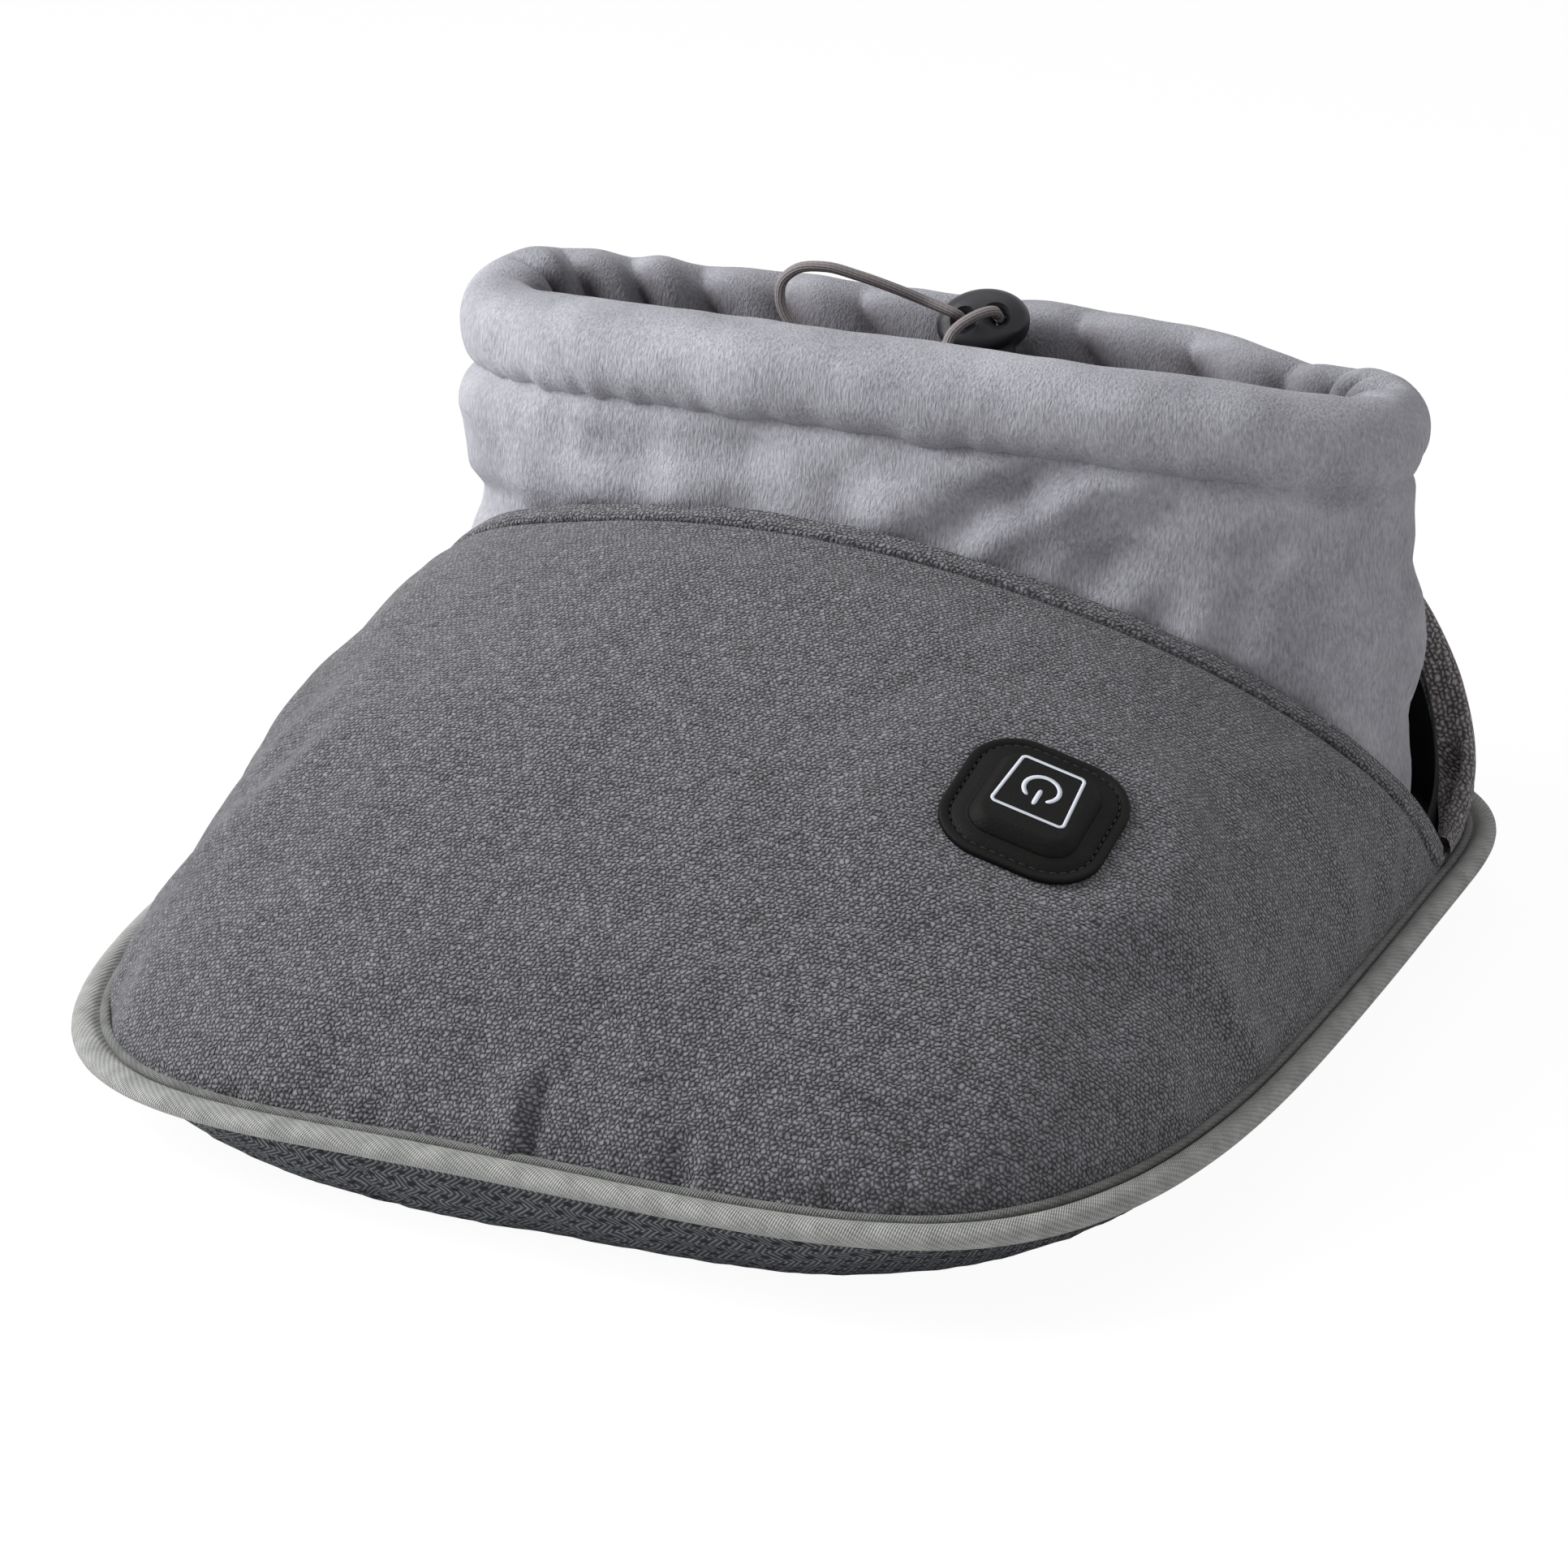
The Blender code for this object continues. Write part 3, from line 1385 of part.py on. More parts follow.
def main():
    for obj in list(bpy.data.objects):
        bpy.data.objects.remove(obj)
    collection("foot_warmer")
    collection(CUTTERS, hidden=True)
    knit = material("heather_knit", (0.13, 0.13, 0.14), 0.95)
    plush = material("grey_plush", (0.34, 0.34, 0.36), 0.9)
    twill = material("piping_twill", (0.27, 0.28, 0.27), 0.85)
    spacer = material("spacer_mesh", (0.06, 0.06, 0.065), 0.9)
    foam = material("foam", (0.75, 0.73, 0.66), 0.95)
    wadding = material("wadding", (0.85, 0.85, 0.84), 1.0)
    black_lining = material("black_lining", (0.012, 0.012, 0.013), 0.95)
    felt = material("heater_felt", (0.55, 0.55, 0.53), 0.95)
    wire = material("heating_wire", (0.45, 0.08, 0.06), 0.5)
    leather = material("black_leatherette", (0.012, 0.012, 0.013), 0.55)
    hard = material("black_plastic", (0.025, 0.025, 0.028), 0.45)
    white = material("white_plastic", (0.7, 0.7, 0.68), 0.5)
    cord = material("elastic_cord", (0.20, 0.18, 0.18), 0.8)
    board = material("circuit_board", (0.02, 0.14, 0.05), 0.5)
    led = material("indicator", (0.8, 0.75, 0.6), 0.2)
    metal = material("plated_metal", (0.7, 0.68, 0.62), 0.3, 1.0)
    sleeve = material("lead_sleeve", (0.03, 0.03, 0.03), 0.5)

    build_sole(spacer, foam)
    build_heater(felt, wire, white, metal)
    build_return_wire(wire)
    flat_pad("insole", INSOLE_INSET, INSOLE_BASE, INSOLE_THICKNESS, INSOLE_ROUNDING, plush)
    build_piping(twill)
    vamp, vamp_pad = build_vamp(knit, wadding, plush)
    heel_layers = build_counter(knit, wadding, black_lining)
    build_collar(plush)
    build_lock(hard, metal)
    build_cords(cord)
    build_button(leather, hard, board, led, vamp, vamp_pad)
    build_inlet(hard, metal, heel_layers)
    build_leads(sleeve)


main()
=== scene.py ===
"""Electric foot warmer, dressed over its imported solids.

Metres, +Z up, the toe towards -Y. An angle round the base or the collar starts at the right side
(+X) and reaches the toe at a quarter turn. Every soft surface is a function of a place along it and
a place up it, and its fabric is a grid that is laid on that surface.
"""

import bisect
import logging
import math
from collections.abc import Callable, Sequence
from dataclasses import dataclass
from enum import Enum
from functools import cache, cached_property

import bmesh
import bpy
from mathutils import Matrix, Vector, noise


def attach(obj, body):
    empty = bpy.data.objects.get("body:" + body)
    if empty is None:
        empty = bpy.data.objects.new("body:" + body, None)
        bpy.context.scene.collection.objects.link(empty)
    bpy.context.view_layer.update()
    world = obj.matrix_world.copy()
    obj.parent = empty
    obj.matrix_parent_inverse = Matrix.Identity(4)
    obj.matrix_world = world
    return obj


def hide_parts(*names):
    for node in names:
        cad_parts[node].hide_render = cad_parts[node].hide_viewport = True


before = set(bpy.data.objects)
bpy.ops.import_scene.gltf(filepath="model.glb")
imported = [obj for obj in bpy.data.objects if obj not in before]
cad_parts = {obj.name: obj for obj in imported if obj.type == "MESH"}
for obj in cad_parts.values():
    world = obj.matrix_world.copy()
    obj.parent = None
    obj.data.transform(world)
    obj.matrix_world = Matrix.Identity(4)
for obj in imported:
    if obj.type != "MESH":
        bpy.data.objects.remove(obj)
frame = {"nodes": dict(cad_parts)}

Surface = Callable[[float, float], Vector]
Socket = bpy.types.NodeSocket

log = logging.getLogger("foot_warmer")
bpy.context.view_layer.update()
WEAVE = "weave"
# Name of the attribute that holds a share of painted shade for the plush.
PAINTED_SHADE = "inside"
QUARTER = math.pi / 2
GAP = 0.0003
SAME_PLACE = 1e-6
CENTRE = (-0.5, -0.5, -0.5)


class Body(Enum):
    """Bodies that a piece can ride on."""

    BOOT = "boot"
    CORD_LOCK = "cord_lock"
    BUTTON = "power_button"


# Small mathematics


def signed_power(value: float, power: float) -> float:
    """Power of a number that keeps its sign, which draws a superellipse."""
    return math.copysign(abs(value) ** power, value)


def superellipse(
    angle: float, half_x: float, half_y: float, power: float, centre: float = 0.0, height: float = 0.0
) -> Vector:
    """Point of a superellipse about a place on the Y axis, at a height."""
    across = half_x * signed_power(math.cos(angle), power)
    return Vector((across, centre + half_y * signed_power(math.sin(angle), power), height))


def smooth(value: float) -> float:
    """Eases a number from 0 to 1 with level ends."""
    value = min(max(value, 0.0), 1.0)
    return value * value * (3 - 2 * value)


def hump(value: float) -> float:
    """Bell of height 1 about 0 that has gone by 2."""
    return math.exp(-value * value)


def uneven(point: Vector, wavelength: float) -> float:
    """Smooth noise from -1 to 1 at a point, with features of a wavelength."""
    return noise.noise(point / wavelength)


def running_lengths(points: Sequence[Vector]) -> list[float]:
    """Length along a row of points, at each of them."""
    lengths = [0.0]
    for near, far in zip(points, points[1:]):
        lengths.append(lengths[-1] + (far - near).length)
    return lengths


def look_up(place: float, places: Sequence[float], values: Sequence) -> float | Vector:
    """Value at a place between places whose values are known.

    Args:
        place: where the value is wanted.
        places: rising places.
        values: the value at each of them.

    Returns:
        The value in between.
    """
    i = min(max(bisect.bisect_right(places, place) - 1, 0), len(places) - 2)
    step = places[i + 1] - places[i]
    share = min(max((place - places[i]) / step, 0.0), 1.0) if step else 0.0
    return values[i] + (values[i + 1] - values[i]) * share


def raised(point: Vector, height: float) -> Vector:
    """The same point in plan at another height."""
    return Vector((point.x, point.y, height))


def dome(low: Vector, high: Vector, up: float, roundness: float) -> Vector:
    """Point on a bulging profile that rises steeply from its low end and levels at its high one."""
    angle = min(max(up, 0.0), 1.0) * QUARTER
    point = low.lerp(high, 1 - math.cos(angle) ** (2 / roundness))
    point.z = low.z + (high.z - low.z) * math.sin(angle) ** (2 / roundness)
    return point


def normal_of(surface: Surface, along: float, up: float) -> Vector:
    """Outward normal of a surface that runs clockwise along, seen from above, and upwards."""
    step = 0.004
    sideways = surface(min(along + step, 1), up) - surface(max(along - step, 0), up)
    upwards = surface(along, min(up + step, 1)) - surface(along, max(up - step, 0))
    return upwards.cross(sideways).normalized()


def smooth_route(route: Sequence[Vector], spacing: float) -> list[Vector]:
    """Smooth curve through points, straight in its first and last stretch.

    Args:
        route: the points that it passes.
        spacing: distance between the points of the result.

    Returns:
        Evenly spaced points.
    """
    points = route[1:-1]
    steps = [after - before for before, after in zip(points, points[1:])]
    lengths = [step.length for step in steps]
    slopes = [(route[1] - route[0]).normalized()]
    for before, after, near, far in zip(steps, steps[1:], lengths, lengths[1:]):
        slopes.append((before * (far / near) + after * (near / far)) / (near + far))
    slopes.append((route[-1] - route[-2]).normalized())
    fine = []
    for start, end, out, into, length in zip(points, points[1:], slopes, slopes[1:], lengths):
        for i in range(24):
            t = i / 24
            middle = start * ((1 - t) ** 2 * (1 + 2 * t)) + end * (t**2 * (3 - 2 * t))
            fine.append(middle + out * (length * t * (1 - t) ** 2) - into * (length * t**2 * (1 - t)))
    fine.append(points[-1])
    places = running_lengths(fine)
    count = max(round(places[-1] / spacing), 2)
    return [route[0], *[look_up(places[-1] * i / count, places, fine) for i in range(count + 1)], route[-1]]


# Finishes


def linear(colour: str) -> tuple[float, float, float, float]:
    """Linear colour of an sRGB hex value."""
    channels = [int(colour[i : i + 2], 16) / 255 for i in (1, 3, 5)]
    return (*[c / 12.92 if c <= 0.04045 else ((c + 0.055) / 1.055) ** 2.4 for c in channels], 1.0)


def add_node(tree: bpy.types.NodeTree, kind: str, inputs: dict | None = None, **settings) -> bpy.types.Node:
    """Adds a node to a tree.

    Args:
        tree: the tree.
        kind: the node's type, without its ShaderNode prefix.
        inputs: for each input, by name or number, its value or the output that feeds it.
        settings: the node's own properties.

    Returns:
        The node.
    """
    made = tree.nodes.new("ShaderNode" + kind)
    for key, value in settings.items():
        setattr(made, key, value)
    for key, value in (inputs or {}).items():
        if isinstance(value, Socket):
            tree.links.new(value, made.inputs[key])
        else:
            made.inputs[key].default_value = value
    return made


def calc(tree: bpy.types.NodeTree, operation: str, *values: Socket | float, clamp: bool = False) -> Socket:
    """Adds a calculation with numbers.

    Args:
        tree: the tree that it goes into.
        operation: what is calculated.
        values: the numbers.
        clamp: whether the result is kept between 0 and 1.

    Returns:
        The result.
    """
    return add_node(tree, "Math", dict(enumerate(values)), operation=operation, use_clamp=clamp).outputs[0]


def calc_place(tree: bpy.types.NodeTree, operation: str, *values: Socket | tuple) -> Socket:
    """Adds a calculation with places, whose result is a number for a length or a dot product."""
    made = add_node(tree, "VectorMath", dict(enumerate(values)), operation=operation)
    return made.outputs["Value" if operation in ("LENGTH", "DOT_PRODUCT") else "Vector"]


def cloud(
    tree: bpy.types.NodeTree,
    place: Socket,
    size: float,
    detail: float,
    *,
    flat: bool = False,
    roughness: float = 0.5,
    output: int | str = 0,
) -> Socket:
    """Adds smooth noise.

    Args:
        tree: the tree that it goes into.
        place: where it is looked up.
        size: size of its features.
        detail: how many finer layers it has.
        flat: whether the place is a place on flat fabric.
        roughness: how strong its finer layers are.
        output: which of its outputs is wanted.

    Returns:
        The output.
    """
    inputs = {"Vector": place, "Scale": 1 / size, "Detail": detail, "Roughness": roughness}
    return add_node(tree, "TexNoise", inputs, noise_dimensions="2D" if flat else "3D").outputs[output]


def eased(tree: bpy.types.NodeTree, value: Socket, start: float, end: float, low: float, high: float) -> Socket:
    """Adds a smooth step that goes from low to high while a value goes from start to end."""
    inputs = {0: value, 1: start, 2: end, 3: low, 4: high}
    return add_node(tree, "MapRange", inputs, interpolation_type="SMOOTHSTEP").outputs[0]


def fabric_place(tree: bpy.types.NodeTree) -> Socket:
    """Adds the place on the flat fabric, in metres."""
    return add_node(tree, "UVMap", uv_map=WEAVE).outputs[0]


def solid_place(tree: bpy.types.NodeTree) -> Socket:
    """Adds the place in the piece, in metres."""
    return add_node(tree, "TexCoord").outputs["Object"]


@dataclass(frozen=True)
class Finish:
    """What a piece is made of. Each kind draws its own pattern."""

    name: str
    slot: str
    dark: str
    light: str
    roughness: float = 0.9

    @cache
    def material(self) -> bpy.types.Material:
        """The finish's material, made once."""
        made = bpy.data.materials.new(self.name)
        made.use_nodes = True
        tree = made.node_tree
        shader = tree.nodes["Principled BSDF"]
        shader.inputs["Roughness"].default_value = self.roughness
        made.diffuse_color = linear(self.light)
        self.draw(tree, shader)
        return made

    def draw(self, tree: bpy.types.NodeTree, shader: bpy.types.Node) -> None:
        """Draws the finish's pattern.

        Args:
            tree: the material's nodes.
            shader: its shader, which the pattern feeds.
        """
        raise NotImplementedError

    def paint(
        self, tree: bpy.types.NodeTree, shader: bpy.types.Node, amount: Socket, height: Socket, depth: float
    ) -> None:
        """Colours the shader between the dark and the light, and gives it relief.

        Args:
            tree: the material's nodes.
            shader: its shader.
            amount: share of the light colour.
            height: the relief, from 0 to 1.
            depth: the relief's real depth.
        """
        tint = add_node(tree, "Mix", {0: amount, 6: linear(self.dark), 7: linear(self.light)}, data_type="RGBA")
        relief = add_node(tree, "Bump", {"Height": height, "Distance": depth, "Strength": 1.0})
        tree.links.new(tint.outputs[2], shader.inputs["Base Color"])
        tree.links.new(relief.outputs[0], shader.inputs["Normal"])


def staggered_cells(tree: bpy.types.NodeTree, place: Socket, width: float, height: float) -> tuple[Socket, Socket]:
    """Cells in staggered rows.

    Args:
        tree: the material's nodes.
        place: place on the fabric, in metres.
        width: width of a cell.
        height: height of a row.

    Returns:
        The place in the cell, from -0.5 to 0.5 each way, and the cell's number.
    """
    scaled = calc_place(tree, "MULTIPLY", place, (1 / width, 1 / height, 0))
    parts = add_node(tree, "SeparateXYZ", {0: scaled})
    row = calc(tree, "FLOOR", parts.outputs[1])
    odd = calc(tree, "PINGPONG", row, 1.0)
    shift = calc(tree, "MULTIPLY_ADD", odd, 0.5, parts.outputs[0])
    moved = add_node(tree, "CombineXYZ", {0: shift, 1: parts.outputs[1]}).outputs[0]
    number = calc_place(tree, "FLOOR", moved)
    inside = calc_place(tree, "FRACTION", moved)
    return calc_place(tree, "ADD", inside, (-0.5, -0.5, 0)), number


@dataclass(frozen=True)
class HeatherKnit(Finish):
    """Polyester heather knit: small pebbly stitches in staggered rows, spun from light and dark
    fibres, so single stitches stand out light and short dark dashes run along the rows. Each
    stitch's dome also carries a painted highlight, and the gaps between stitches painted shade."""

    stitch: float = 0.00145
    course: float = 0.00120
    sway: float = 0.0023
    sway_size: float = 0.0028
    dash: float = 0.0018
    patch: float = 0.014
    fuzz: float = 0.0005
    relief: float = 0.0007

    def draw(self, tree: bpy.types.NodeTree, shader: bpy.types.Node) -> None:
        """Draws stitches, dashes and patches."""
        uv = fabric_place(tree)
        sway = calc_place(tree, "ADD", cloud(tree, uv, self.sway_size, 2.0, flat=True, output="Color"), CENTRE)
        place = calc_place(tree, "MULTIPLY_ADD", sway, (self.sway, self.sway, 0), uv)
        inside, number = staggered_cells(tree, place, self.stitch, self.course)
        stitch_relief_and_shade = eased(tree, calc_place(tree, "LENGTH", inside), 0.12, 0.60, 1.0, 0.0)
        lot = add_node(tree, "TexWhiteNoise", {"Vector": number}, noise_dimensions="2D").outputs["Value"]
        dashes = cloud(tree, calc_place(tree, "MULTIPLY", uv, (0.35, 1, 1)), self.dash, 2.0, flat=True)
        patches = cloud(tree, uv, self.patch, 3.0, flat=True)
        spun = calc(tree, "MULTIPLY_ADD", lot, 0.58, -0.60)
        spun = calc(tree, "MULTIPLY_ADD", dashes, 0.30, spun)
        spun = calc(tree, "MULTIPLY_ADD", patches, 0.20, spun)
        # Painted highlight and shade: the light colour follows each stitch's dome, and the gaps go dark.
        amount = calc(tree, "MULTIPLY_ADD", stitch_relief_and_shade, 0.90, spun, clamp=True)
        height = calc(tree, "MULTIPLY_ADD", cloud(tree, uv, self.fuzz, 1.0, flat=True), 0.35, stitch_relief_and_shade)
        shader.inputs["Sheen Weight"].default_value = 0.36
        shader.inputs["Sheen Roughness"].default_value = 0.42
        self.paint(tree, shader, amount, height, self.relief)


@dataclass(frozen=True)
class Plush(Finish):
    """Short-pile polyester plush: the pile lies in fine strokes that turn from place to place, and
    brushed patches look lighter or darker. Its tips catch light at the edges. Where the piece's
    inside attribute is 1, the pile is multiplied by the lining colour as painted shade: the shade
    inside the opening and in the pleats' valleys."""

    stroke: float = 0.0007
    patch: float = 0.026
    turn_size: float = 0.022
    relief: float = 0.0006
    sheen: float = 0.16
    tips: str = "#E4E4EA"
    # Colour that the pile is multiplied by where the inside attribute is 1: painted shade.
    lining: str = "#6E6668"

    def draw(self, tree: bpy.types.NodeTree, shader: bpy.types.Node) -> None:
        """Draws strokes and brushed patches."""
        place = solid_place(tree)
        turn = calc_place(tree, "ADD", cloud(tree, place, self.turn_size, 1.0, output="Color"), CENTRE)
        turned_place = calc_place(tree, "MULTIPLY_ADD", turn, (0.003, 0.003, 0.008), place)
        lying = calc_place(tree, "MULTIPLY", turned_place, (1, 1, 0.28))
        strokes = cloud(tree, lying, self.stroke, 2.0, roughness=0.65)
        patches = cloud(tree, turned_place, self.patch, 4.0, roughness=0.6)
        amount = calc(tree, "MULTIPLY_ADD", strokes, 1.1, -0.55)
        amount = calc(tree, "ADD", patches, amount, clamp=True)
        shader.inputs["Sheen Weight"].default_value = self.sheen
        shader.inputs["Sheen Roughness"].default_value = 0.35
        shader.inputs["Sheen Tint"].default_value = linear(self.tips)
        self.paint(tree, shader, amount, strokes, self.relief)
        # Painted shade: the inside attribute darkens the pile towards the lining colour.
        inside = add_node(tree, "Attribute", attribute_name=PAINTED_SHADE).outputs["Fac"]
        pile = shader.inputs["Base Color"].links[0].from_socket
        colours = {0: inside, 6: pile, 7: linear(self.lining)}
        lined = add_node(tree, "Mix", colours, data_type="RGBA", blend_type="MULTIPLY")
        tree.links.new(lined.outputs[2], shader.inputs["Base Color"])


@dataclass(frozen=True)
class Twill(Finish):
    """Polyester twill tape: fine slanting ribs, broken into short floats, with painted shade in the
    valleys between ribs and a painted highlight on their crests.
    """

    rib: float = 0.0007
    slant: float = 0.55
    float_length: float = 0.0014
    wear: float = 0.006
    relief: float = 0.0004

    def draw(self, tree: bpy.types.NodeTree, shader: bpy.types.Node) -> None:
        """Draws ribs and their floats."""
        uv = fabric_place(tree)
        ribs = (math.tau / self.rib, math.tau * self.slant / self.rib, 0)
        floats = (-math.tau * self.slant / self.float_length, math.tau / self.float_length, 0)
        rib = calc(tree, "SINE", calc_place(tree, "DOT_PRODUCT", uv, ribs))
        step = calc(tree, "SINE", calc_place(tree, "DOT_PRODUCT", uv, floats))
        height = calc(tree, "MULTIPLY_ADD", step, 0.16, calc(tree, "MULTIPLY_ADD", rib, 0.32, 0.5))
        amount = calc(tree, "MULTIPLY_ADD", cloud(tree, uv, self.wear, 5.0, flat=True), 0.8, -0.38)
        # Painted shade and highlight: the colour follows the ribs' relief.
        amount = calc(tree, "MULTIPLY_ADD", height, 0.9, amount, clamp=True)
        shader.inputs["Sheen Weight"].default_value = 0.15
        self.paint(tree, shader, amount, height, self.relief)


@dataclass(frozen=True)
class SpacerMesh(Finish):
    """Polyester 3-D spacer mesh: staggered oval holes between diagonal ribs of filament. The holes and
    the troughs between ribs are painted dark as shade, and the rib crests painted lighter.
    """

    hole_pitch: float = 0.0060
    hole_row: float = 0.0036
    rib: float = 0.0018
    wear: float = 0.015
    relief: float = 0.0012

    def draw(self, tree: bpy.types.NodeTree, shader: bpy.types.Node) -> None:
        """Draws holes, and ribs that lean the other way in every second row."""
        uv = fabric_place(tree)
        inside, number = staggered_cells(tree, uv, self.hole_pitch, self.hole_row)
        solid = eased(tree, calc_place(tree, "LENGTH", inside), 0.16, 0.28, 0.0, 1.0)
        row = add_node(tree, "SeparateXYZ", {0: number}).outputs[1]
        lean = calc(tree, "MULTIPLY_ADD", calc(tree, "PINGPONG", row, 1.0), 2.0, -1.0)
        parts = add_node(tree, "SeparateXYZ", {0: uv}).outputs
        across = calc(tree, "MULTIPLY_ADD", parts[1], lean, parts[0])
        rib = calc(tree, "SINE", calc(tree, "MULTIPLY", across, math.tau / self.rib))
        height = calc(tree, "MULTIPLY", calc(tree, "MULTIPLY_ADD", rib, 0.45, 0.55), solid)
        shade = calc(tree, "MULTIPLY_ADD", cloud(tree, uv, self.wear, 3.0, flat=True), 0.5, 0.6)
        # Painted shade: the colour follows the relief, darkest in the holes and between the ribs.
        amount = calc(tree, "MULTIPLY", height, shade, clamp=True)
        self.paint(tree, shader, amount, height, self.relief)


@dataclass(frozen=True)
class BraidedElastic(Finish):
    """Braided elastic cord: fine polyester ribs that run lengthwise over rubber, with painted shade in
    the grooves between ribs and a painted highlight on their crests.
    """

    ribs_round: int = 12
    girth: float = 0.0094
    braid: float = 0.0016
    relief: float = 0.00016

    def draw(self, tree: bpy.types.NodeTree, shader: bpy.types.Node) -> None:
        """Draws the lengthwise ribs and the braid across them."""
        uv = fabric_place(tree)
        pitch = self.girth / self.ribs_round
        ribs = (0.03 * math.tau / pitch, math.tau / pitch, 0)
        rib = calc(tree, "SINE", calc_place(tree, "DOT_PRODUCT", uv, ribs))
        yarn = calc(tree, "SINE", calc_place(tree, "DOT_PRODUCT", uv, (math.tau / self.braid, 900.0, 0)))
        height = calc(tree, "MULTIPLY_ADD", rib, 0.36, 0.5)
        height = calc(tree, "MULTIPLY_ADD", yarn, 0.06, height, clamp=True)
        # Painted shade and highlight: the colour is the ribs' relief itself.
        self.paint(tree, shader, height, height, self.relief)


@dataclass(frozen=True)
class Leatherette(Finish):
    """Black PU leatherette: soft pebbled grain with a low gloss that wear dulls."""

    grain: float = 0.0007
    wear: float = 0.008
    relief: float = 0.00010
    dulling: float = 0.12

    def draw(self, tree: bpy.types.NodeTree, shader: bpy.types.Node) -> None:
        """Draws the grain, and wear that dulls it."""
        place = solid_place(tree)
        cells = add_node(tree, "TexVoronoi", {"Vector": place, "Scale": 1 / self.grain}, feature="SMOOTH_F1")
        wear = cloud(tree, place, self.wear, 4.0)
        levels = {0: wear, 1: 0.3, 2: 0.7, 3: self.roughness, 4: self.roughness + self.dulling}
        tree.links.new(add_node(tree, "MapRange", levels).outputs[0], shader.inputs["Roughness"])
        shader.inputs["Specular IOR Level"].default_value = 0.10
        self.paint(tree, shader, wear, cells.outputs["Distance"], self.relief)


@dataclass(frozen=True)
class Moulded(Finish):
    """Moulded plastic or rubber with a fine spark-eroded grain and faint flow marks."""

    grain: float = 0.0005
    depth: float = 0.00004
    gloss: float = 0.5
    flow: float = 0.006

    def draw(self, tree: bpy.types.NodeTree, shader: bpy.types.Node) -> None:
        """Draws the grain and the flow marks."""
        place = solid_place(tree)
        grain = cloud(tree, place, self.grain, 2.0)
        shader.inputs["Specular IOR Level"].default_value = self.gloss
        self.paint(tree, shader, cloud(tree, place, self.flow, 3.0), grain, self.depth)


@dataclass(frozen=True)
class Fibre(Finish):
    """Loose fibres or foam cells: felt, wadding and foam, told apart by size and depth."""

    size: float = 0.0009
    depth: float = 0.0006
    thick_place: float = 0.01

    def draw(self, tree: bpy.types.NodeTree, shader: bpy.types.Node) -> None:
        """Draws crossing fibres in thick and thin places."""
        place = solid_place(tree)
        cells = add_node(
            tree, "TexVoronoi", {"Vector": place, "Scale": 1 / self.size}, feature="DISTANCE_TO_EDGE"
        ).outputs[0]
        amount = calc(tree, "MULTIPLY_ADD", cells, 1.2, cloud(tree, place, self.thick_place, 4.0), clamp=True)
        self.paint(tree, shader, amount, cells, self.depth)


@dataclass(frozen=True)
class Metal(Finish):
    """Drawn or plated metal with fine draw lines."""

    line: float = 0.0003
    tarnish: float = 0.004
    relief: float = 0.00002

    def draw(self, tree: bpy.types.NodeTree, shader: bpy.types.Node) -> None:
        """Draws the draw lines and slight tarnish."""
        place = solid_place(tree)
        drawn = cloud(tree, calc_place(tree, "MULTIPLY", place, (1, 1, 0.08)), self.line, 2.0)
        shader.inputs["Metallic"].default_value = 1.0
        self.paint(tree, shader, cloud(tree, place, self.tarnish, 3.0), drawn, self.relief)


# The knits' dark colour also serves as painted shade in the gaps between stitches.
KNIT = HeatherKnit("pebbly_heather", "knit", "#27262A", "#85838C", 0.92)
COUNTER_KNIT = HeatherKnit("coarse_heather", "knit", "#373335", "#A9A2A5", 0.92, stitch=0.0017, course=0.0015)
PLUSH = Plush("brushed_plush", "plush", "#6F6F76", "#BFBFC7", 0.85)
# Darker, browner copy of the plush for the inside of the opening: its colour is painted shade.
SHADED_PLUSH = Plush("shaded_lining_plush", "dark_plush", "#565153", "#969193", 0.88)
TWILL = Twill("ribbed_twill", "twill", "#6C6E6C", "#C0C1BE", 0.8)
# The same twill in darker colours for the lip in the crease between piping and upper: painted shade.
SHADED_TWILL = Twill("shaded_folded_twill", "twill", "#4A4C4A", "#8E908D", 0.85)
MESH = SpacerMesh("staggered_mesh", "spacer_mesh", "#101114", "#9A9EA6", 0.85)
ELASTIC = BraidedElastic("ribbed_elastic", "elastic_cord", "#655D5E", "#9C9596", 0.7)
LEATHER = Leatherette("pebbled_leatherette", "black_leatherette", "#0C0B0B", "#151413", 0.55)
THREAD = Moulded("waxed_thread", "black_leatherette", "#0A0A0A", "#161616", 0.7, grain=0.0003)
PRINT = Moulded("white_ink", "black_leatherette", "#CDD2DE", "#E2E6EF", 0.6)
SLATE = Moulded("slate_nylon", "dark_plastic", "#201F24", "#29282E", 0.42, grain=0.0007, depth=0.00003, gloss=0.3)
MATT = Moulded("matt_nylon", "dark_plastic", "#131316", "#1A1A1D", 0.8, gloss=0.2)
LINING = Fibre("black_taffeta", "black_lining", "#0B0B0C", "#19191B", 0.9, size=0.0006, depth=0.0001)
BLACK = Moulded("satin_black", "black_plastic", "#17181A", "#1F2022", 0.45)
WHITE = Moulded("natural_nylon", "white_plastic", "#CFCEC8", "#E0DFDA", 0.5)
SILICONE = Moulded("silicone_sheath", "heating_cable", "#8E2A1E", "#A63A2B", 0.55)
VINYL = Moulded("vinyl_sheath", "lead_sleeve", "#161616", "#202020", 0.5)
BOARD = Moulded("solder_mask", "circuit_board", "#1B5430", "#247040", 0.35)
LENS = Moulded("milky_epoxy", "led_lens", "#E4E0D2", "#F2F0E6", 0.2)
PLATED = Metal("nickel_plate", "plated_metal", "#B9B6AE", "#D0CEC8", 0.3)
STEEL = Metal("spring_wire", "spring_steel", "#9A9A9A", "#B4B4B4", 0.35)
